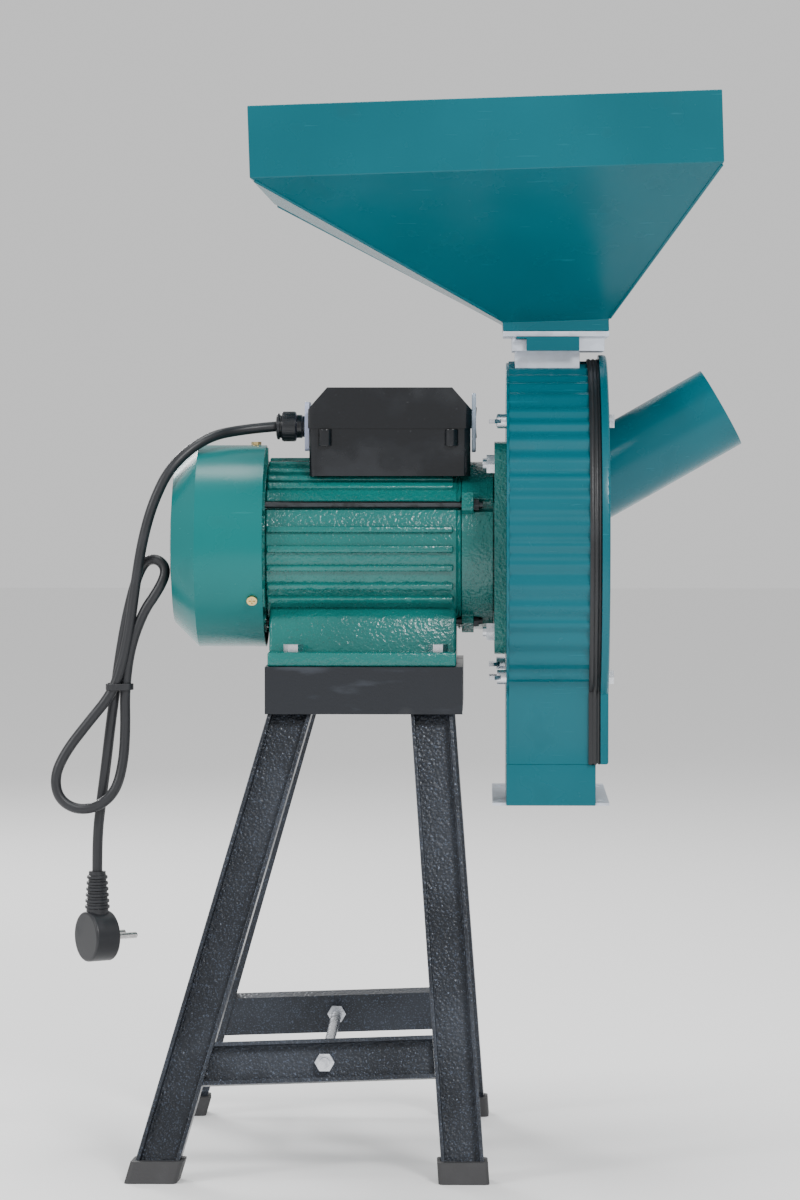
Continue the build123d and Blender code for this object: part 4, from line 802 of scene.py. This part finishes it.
class MILL_OT_gasket(bpy.types.Operator):
    """Makes the rubber seal between drum and cover, with shallow ribs"""
    bl_idname = "mill.gasket"
    bl_label = "Cover gasket"

    inset, wall = 0.0004, 0.009
    half_share = 0.667                      # the straight sides' distance, as a share of the radius
    arc_steps, side_steps = 72, 14
    ribs = (                                # share of the width, and how much that step grows
        (0.12, 0.0030), (0.12, 0.0), (0.14, -0.0060), (0.12, 0.0060), (0.12, 0.0),
        (0.12, -0.0060), (0.12, 0.0060), (0.14, -0.0030))

    def execute(self, context):
        low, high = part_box("cover_gasket")
        radius = high.z - AXIS_Z - self.inset
        half = radius * self.half_share
        start = -degrees(atan2(sqrt(radius ** 2 - half ** 2), half))
        count, steps = self.arc_steps, self.side_steps
        band = [polar(low.x, radius, start + (180 - 2 * start) * i / count)
                for i in range(count + 1)]
        drop = band[0].z - low.z
        right = [Vector((low.x, half, low.z + drop * i / steps)) for i in range(steps)]
        left = [Vector((low.x, -half, low.z + drop * i / steps)) for i in range(steps)][::-1]
        outline = right + band + left
        strip = wire(outline + [outline[0]])
        bpy.ops.mesh.select_all(action="SELECT")
        bpy.ops.mesh.remove_doubles(threshold=WELD_GAP)
        width = high.x - low.x
        centre = Vector((0, 0, AXIS_Z))
        for share, grow in self.ribs:
            bpy.ops.mesh.extrude_region_move(
                TRANSFORM_OT_translate={"value": (width * share, 0, 0)})
            bpy.ops.transform.resize(value=(1, 1 + grow, 1 + grow), center_override=centre)
        bpy.ops.object.mode_set(mode="OBJECT")
        thicken(strip, self.wall)
        shade_evenly(strip, radians(40))
        hand_over(strip, "cover_seal", "cover_gasket")
        return {"FINISHED"}


class MILL_OT_hopper(bpy.types.Operator):
    """Makes the hopper: softened folds and a welded seam down each of its four corners"""
    bl_idname = "mill.hopper"
    bl_label = "Hopper"

    foot_height = 0.012                     # a seam starts among the vertices below this height
    crease_heights = 0.08, 0.135            # and ends among those between these two
    height_weight = 0.05                    # of two corners equally far out, the higher one
    start_share, end_share = 0.01, 0.02     # left bare at a seam's two ends
    bead = 0.0012

    def execute(self, context):
        pan = soften(traced("hopper"), sizes().fold, 3, 14)
        corners = [vertex.co for vertex in NODES["hopper"].data.vertices]
        base = min(corner.z for corner in corners)
        lowest, highest = (base + height for height in self.crease_heights)
        for side_x in (-1, 1):
            for side_y in (-1, 1):
                foot = max(
                    (c for c in corners if c.z < base + self.foot_height),
                    key=lambda c: side_x * c.x + side_y * c.y + c.z * self.height_weight)
                crease = max((c for c in corners if lowest < c.z < highest),
                             key=lambda c: side_x * c.x + side_y * c.y)
                way = crease - foot
                join(pan, rod(foot + way * self.start_share, crease - way * self.end_share,
                              self.bead, 10))
        shade_evenly(pan, radians(35))
        hand_over(pan, "hopper_pan", "hopper")
        return {"FINISHED"}


class MILL_OT_motor(bpy.types.Operator):
    """Makes the motor housing: a broad shell with low cast ridges on a sloping foot"""
    bl_idname = "mill.motor"
    bl_label = "Motor housing"

    ridge_angles = (61, 52, 45, 12.4, -0.6, -13.4, -26.5, -37, 74, 90, 106)
    ridge_half_width, ridge_taper, ridge_round = 0.0042, 0.62, 0.0013
    inner_radius = 0.052
    groove_angles = (30, 150, 240, 300)
    groove_place, groove_radius, overrun = 0.066, 0.0042, 0.001
    plate_height, plate_round = 0.011, 0.0016
    foot_start, foot_end, foot_round = 0.003, 0.0042, 0.0025
    foot_outline = (                        # Y, and the height from the plate's top or the axis
        (-0.060, "plate", -0.002), (-0.0535, "axis", -0.054), (-0.040, "axis", -0.040),
        (0.040, "axis", -0.040), (0.0535, "axis", -0.054), (0.060, "plate", -0.002))

    def execute(self, context):
        low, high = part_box("motor_housing")
        shell_radius, rise = sizes().shell, sizes().ridge
        left, right = low.x, high.x
        profile = [polar(x, radius, 90) for x, radius in (
            (left, self.inner_radius), (left, shell_radius - 0.002), (left + 0.0015, shell_radius),
            (right - 0.0045, shell_radius), (right - 0.003, shell_radius - 0.0012),
            (right - 0.0015, shell_radius), (right - 0.0004, shell_radius - 0.0006),
            (right, self.inner_radius))]
        barrel = turned(profile, (0, 0, AXIS_Z), (1, 0, 0), 96)
        ridges = []
        reach = self.ridge_half_width
        model = block((left + 0.0015, -reach, 0), (right - 0.0065, reach, shell_radius + rise))
        pick(model, lambda face: face.normal.z > 0.9)
        bpy.ops.transform.resize(value=(1, self.ridge_taper, 1))
        bpy.ops.object.mode_set(mode="OBJECT")
        modify(model, "BEVEL", width=self.ridge_round, segments=3, limit_method="ANGLE")
        for side in (1, -1):
            for number, angle in enumerate(self.ridge_angles):
                if angle == 90 and side < 0:
                    continue
                ridge = copy_of(model)
                edit(ridge)
                turn = angle - 90 if side > 0 else 90 - angle
                breadth = 0.85 + 0.3 * ((number * 7) % 5) / 5       # cast ridges differ a little
                bpy.ops.transform.resize(value=(1, breadth, 1), center_override=(0, 0, 0))
                bpy.ops.object.mode_set(mode="OBJECT")
                ridge.data.transform(
                    Matrix.Translation((0, 0, AXIS_Z)) @ Matrix.Rotation(radians(turn), 4, "X"))
                ridges.append(ridge)
        bpy.data.objects.remove(model)
        for angle in self.groove_angles:
            cut(barrel, rod(polar(left - self.overrun, self.groove_place, angle),
                            polar(right + self.overrun, self.groove_place, angle),
                            self.groove_radius, 24))
        levels = {"plate": low.z + self.plate_height, "axis": AXIS_Z}
        foot_left, foot_right = left + self.foot_start, right - self.foot_end
        plate = block((foot_left, low.y, low.z), (foot_right, high.y, levels["plate"]))
        modify(plate, "BEVEL", width=self.plate_round, segments=3, limit_method="ANGLE")
        base = slab([Vector((foot_left, y, levels[level] + rise))
                     for y, level, rise in self.foot_outline], (foot_right - foot_left, 0, 0))
        modify(base, "BEVEL", width=self.foot_round, segments=3, limit_method="ANGLE")
        join(barrel, plate, base, *ridges)
        shade_evenly(barrel, radians(36))
        hand_over(barrel, "motor_barrel", "motor_housing")
        return {"FINISHED"}


class MILL_OT_box(bpy.types.Operator):
    """Makes the capacitor box: base with screw posts, lid, gland plate and switch"""
    bl_idname = "mill.box"
    bl_label = "Capacitor box"

    post_insets = 0.0125, 0.0145            # of the posts' axes from the base's two ends
    post_radius, post_start, post_end = 0.0052, 0.023, 0.0005
    bore_radius, bore_start, bore_end = 0.0034, 0.019, 0.0285
    pieces = (                              # CAD node, name, edge rounding, segments, corner
        ("capacitor_box_lid", "box_lid", 0.0014, 3, 25),
        ("gland_plate", "gland_base_plate", 0.0009, 3, 30),
        ("switch_frame", "switch_surround", 0.0008, 3, 30),
        ("switch_rocker", "switch_paddle", 0.0005, 2, 30),
    )

    def execute(self, context):
        low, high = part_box("capacitor_box_base")
        base = soften(traced("capacitor_box_base"), sizes().moulding, 3, 30)
        posts = []
        for x in (low.x + self.post_insets[0], high.x - self.post_insets[1]):
            for side in (-1, 1):
                y = side * high.y
                post = rod((x, y, low.z + self.post_start), (x, y, high.z - self.post_end),
                           self.post_radius, 32)
                cut(post, rod((x, y, low.z + self.bore_start), (x, y, low.z + self.bore_end),
                              self.bore_radius, 24))
                soften(post, 0.0006, 2, 40)
                posts.append(post)
        join(base, *posts)
        shade_evenly(base, radians(35))
        hand_over(base, "box_base", "capacitor_box_base")
        for node, name, width, segments, corner in self.pieces:
            hand_over(soften(traced(node), width, segments, corner), name, node)
        return {"FINISHED"}


class MILL_OT_stage(bpy.types.Operator):
    """Sets the pale floor, the studio lights and the camera"""
    bl_idname = "mill.stage"
    bl_label = "Stage"

    floor_size, floor_grey, sky_strength = 24, 0.90, 0.8
    lamps = (                               # name, place, size, watts
        ("key", (1.1, -2.3, 2.2), 0.7, 60),
        ("fill", (-2.4, -1.5, 1.6), 0.8, 34),
        ("top", (0.1, 0.1, 2.6), 1.0, 40),
        ("back", (-1.2, 2.4, 1.8), 0.9, 40),
    )
    lamp_target = (0, 0, 0.42)
    camera_place, camera_target_x, camera_dip = (0.0338, -3.3994, 0.562), -0.0315, 2.245
    lens, sensor, near = 130.8, 36, 0.05

    def execute(self, context):
        start_fresh()
        bpy.ops.mesh.primitive_plane_add(size=self.floor_size, location=(0, 0, 0))
        floor = bpy.context.object
        floor.name = "floor"
        cover = Recipe("pale_floor", Roughness=0.6)
        cover.shader.inputs["Base Color"].default_value = (*[self.floor_grey] * 3, 1)
        floor.data.materials.append(cover.material)
        world = bpy.data.worlds.new("studio")
        context.scene.world = world
        world.use_nodes = True
        sky = world.node_tree.nodes["Background"]
        sky.inputs["Color"].default_value = (1, 1, 1, 1)
        sky.inputs["Strength"].default_value = self.sky_strength
        for name, place, size, watts in self.lamps:
            bpy.ops.object.light_add(type="AREA", location=place)
            lamp = bpy.context.object
            lamp.name = lamp.data.name = name
            lamp.data.shape = "DISK"
            lamp.data.size, lamp.data.energy = size, watts
            aim = Vector(self.lamp_target) - Vector(place)
            lamp.rotation_euler = aim.to_track_quat("-Z", "Y").to_euler()
        start = Vector(self.camera_place)
        heading = atan2(self.camera_target_x - start.x, 0 - start.y)
        bpy.ops.object.camera_add(
            location=start, rotation=(radians(90 - self.camera_dip), 0, -heading))
        camera = bpy.context.object
        camera.data.lens, camera.data.sensor_width = self.lens, self.sensor
        camera.data.clip_start = self.near
        context.scene.camera = camera
        return {"FINISHED"}


# ---- the panel ----------------------------------------------------------------------------------
class MILL_PT_panel(bpy.types.Panel):
    """Lists the pieces in the order in which they are made"""
    bl_idname = "MILL_PT_panel"
    bl_label = "Hammer mill"
    bl_space_type = "VIEW_3D"
    bl_region_type = "UI"
    bl_category = "Hammer mill"

    def draw(self, context):
        for group in (context.scene.mill_colours, context.scene.mill_sizes):
            for key in group.__annotations__:
                self.layout.prop(group, key)
        for operator in OPERATORS:
            self.layout.operator(operator.bl_idname)


GROUPS = {"mill_colours": MillColours, "mill_sizes": MillSizes}
OPERATORS = (
    MILL_OT_finishes, MILL_OT_plug, MILL_OT_gland, MILL_OT_cord, MILL_OT_stand,
    MILL_OT_sheet_work, MILL_OT_castings, MILL_OT_drum, MILL_OT_gasket, MILL_OT_hopper,
    MILL_OT_motor, MILL_OT_box, MILL_OT_stage,
)


def register():
    for kind in (*GROUPS.values(), *OPERATORS, MILL_PT_panel):
        bpy.utils.register_class(kind)
    for name, group in GROUPS.items():
        setattr(bpy.types.Scene, name, bpy.props.PointerProperty(type=group))


def unregister():
    for name in GROUPS:
        delattr(bpy.types.Scene, name)
    for kind in reversed((*GROUPS.values(), *OPERATORS, MILL_PT_panel)):
        bpy.utils.unregister_class(kind)


def main():
    register()
    for operator in OPERATORS:
        getattr(bpy.ops.mill, operator.bl_idname.split(".")[1])()


if __name__ == "__main__":
    main()
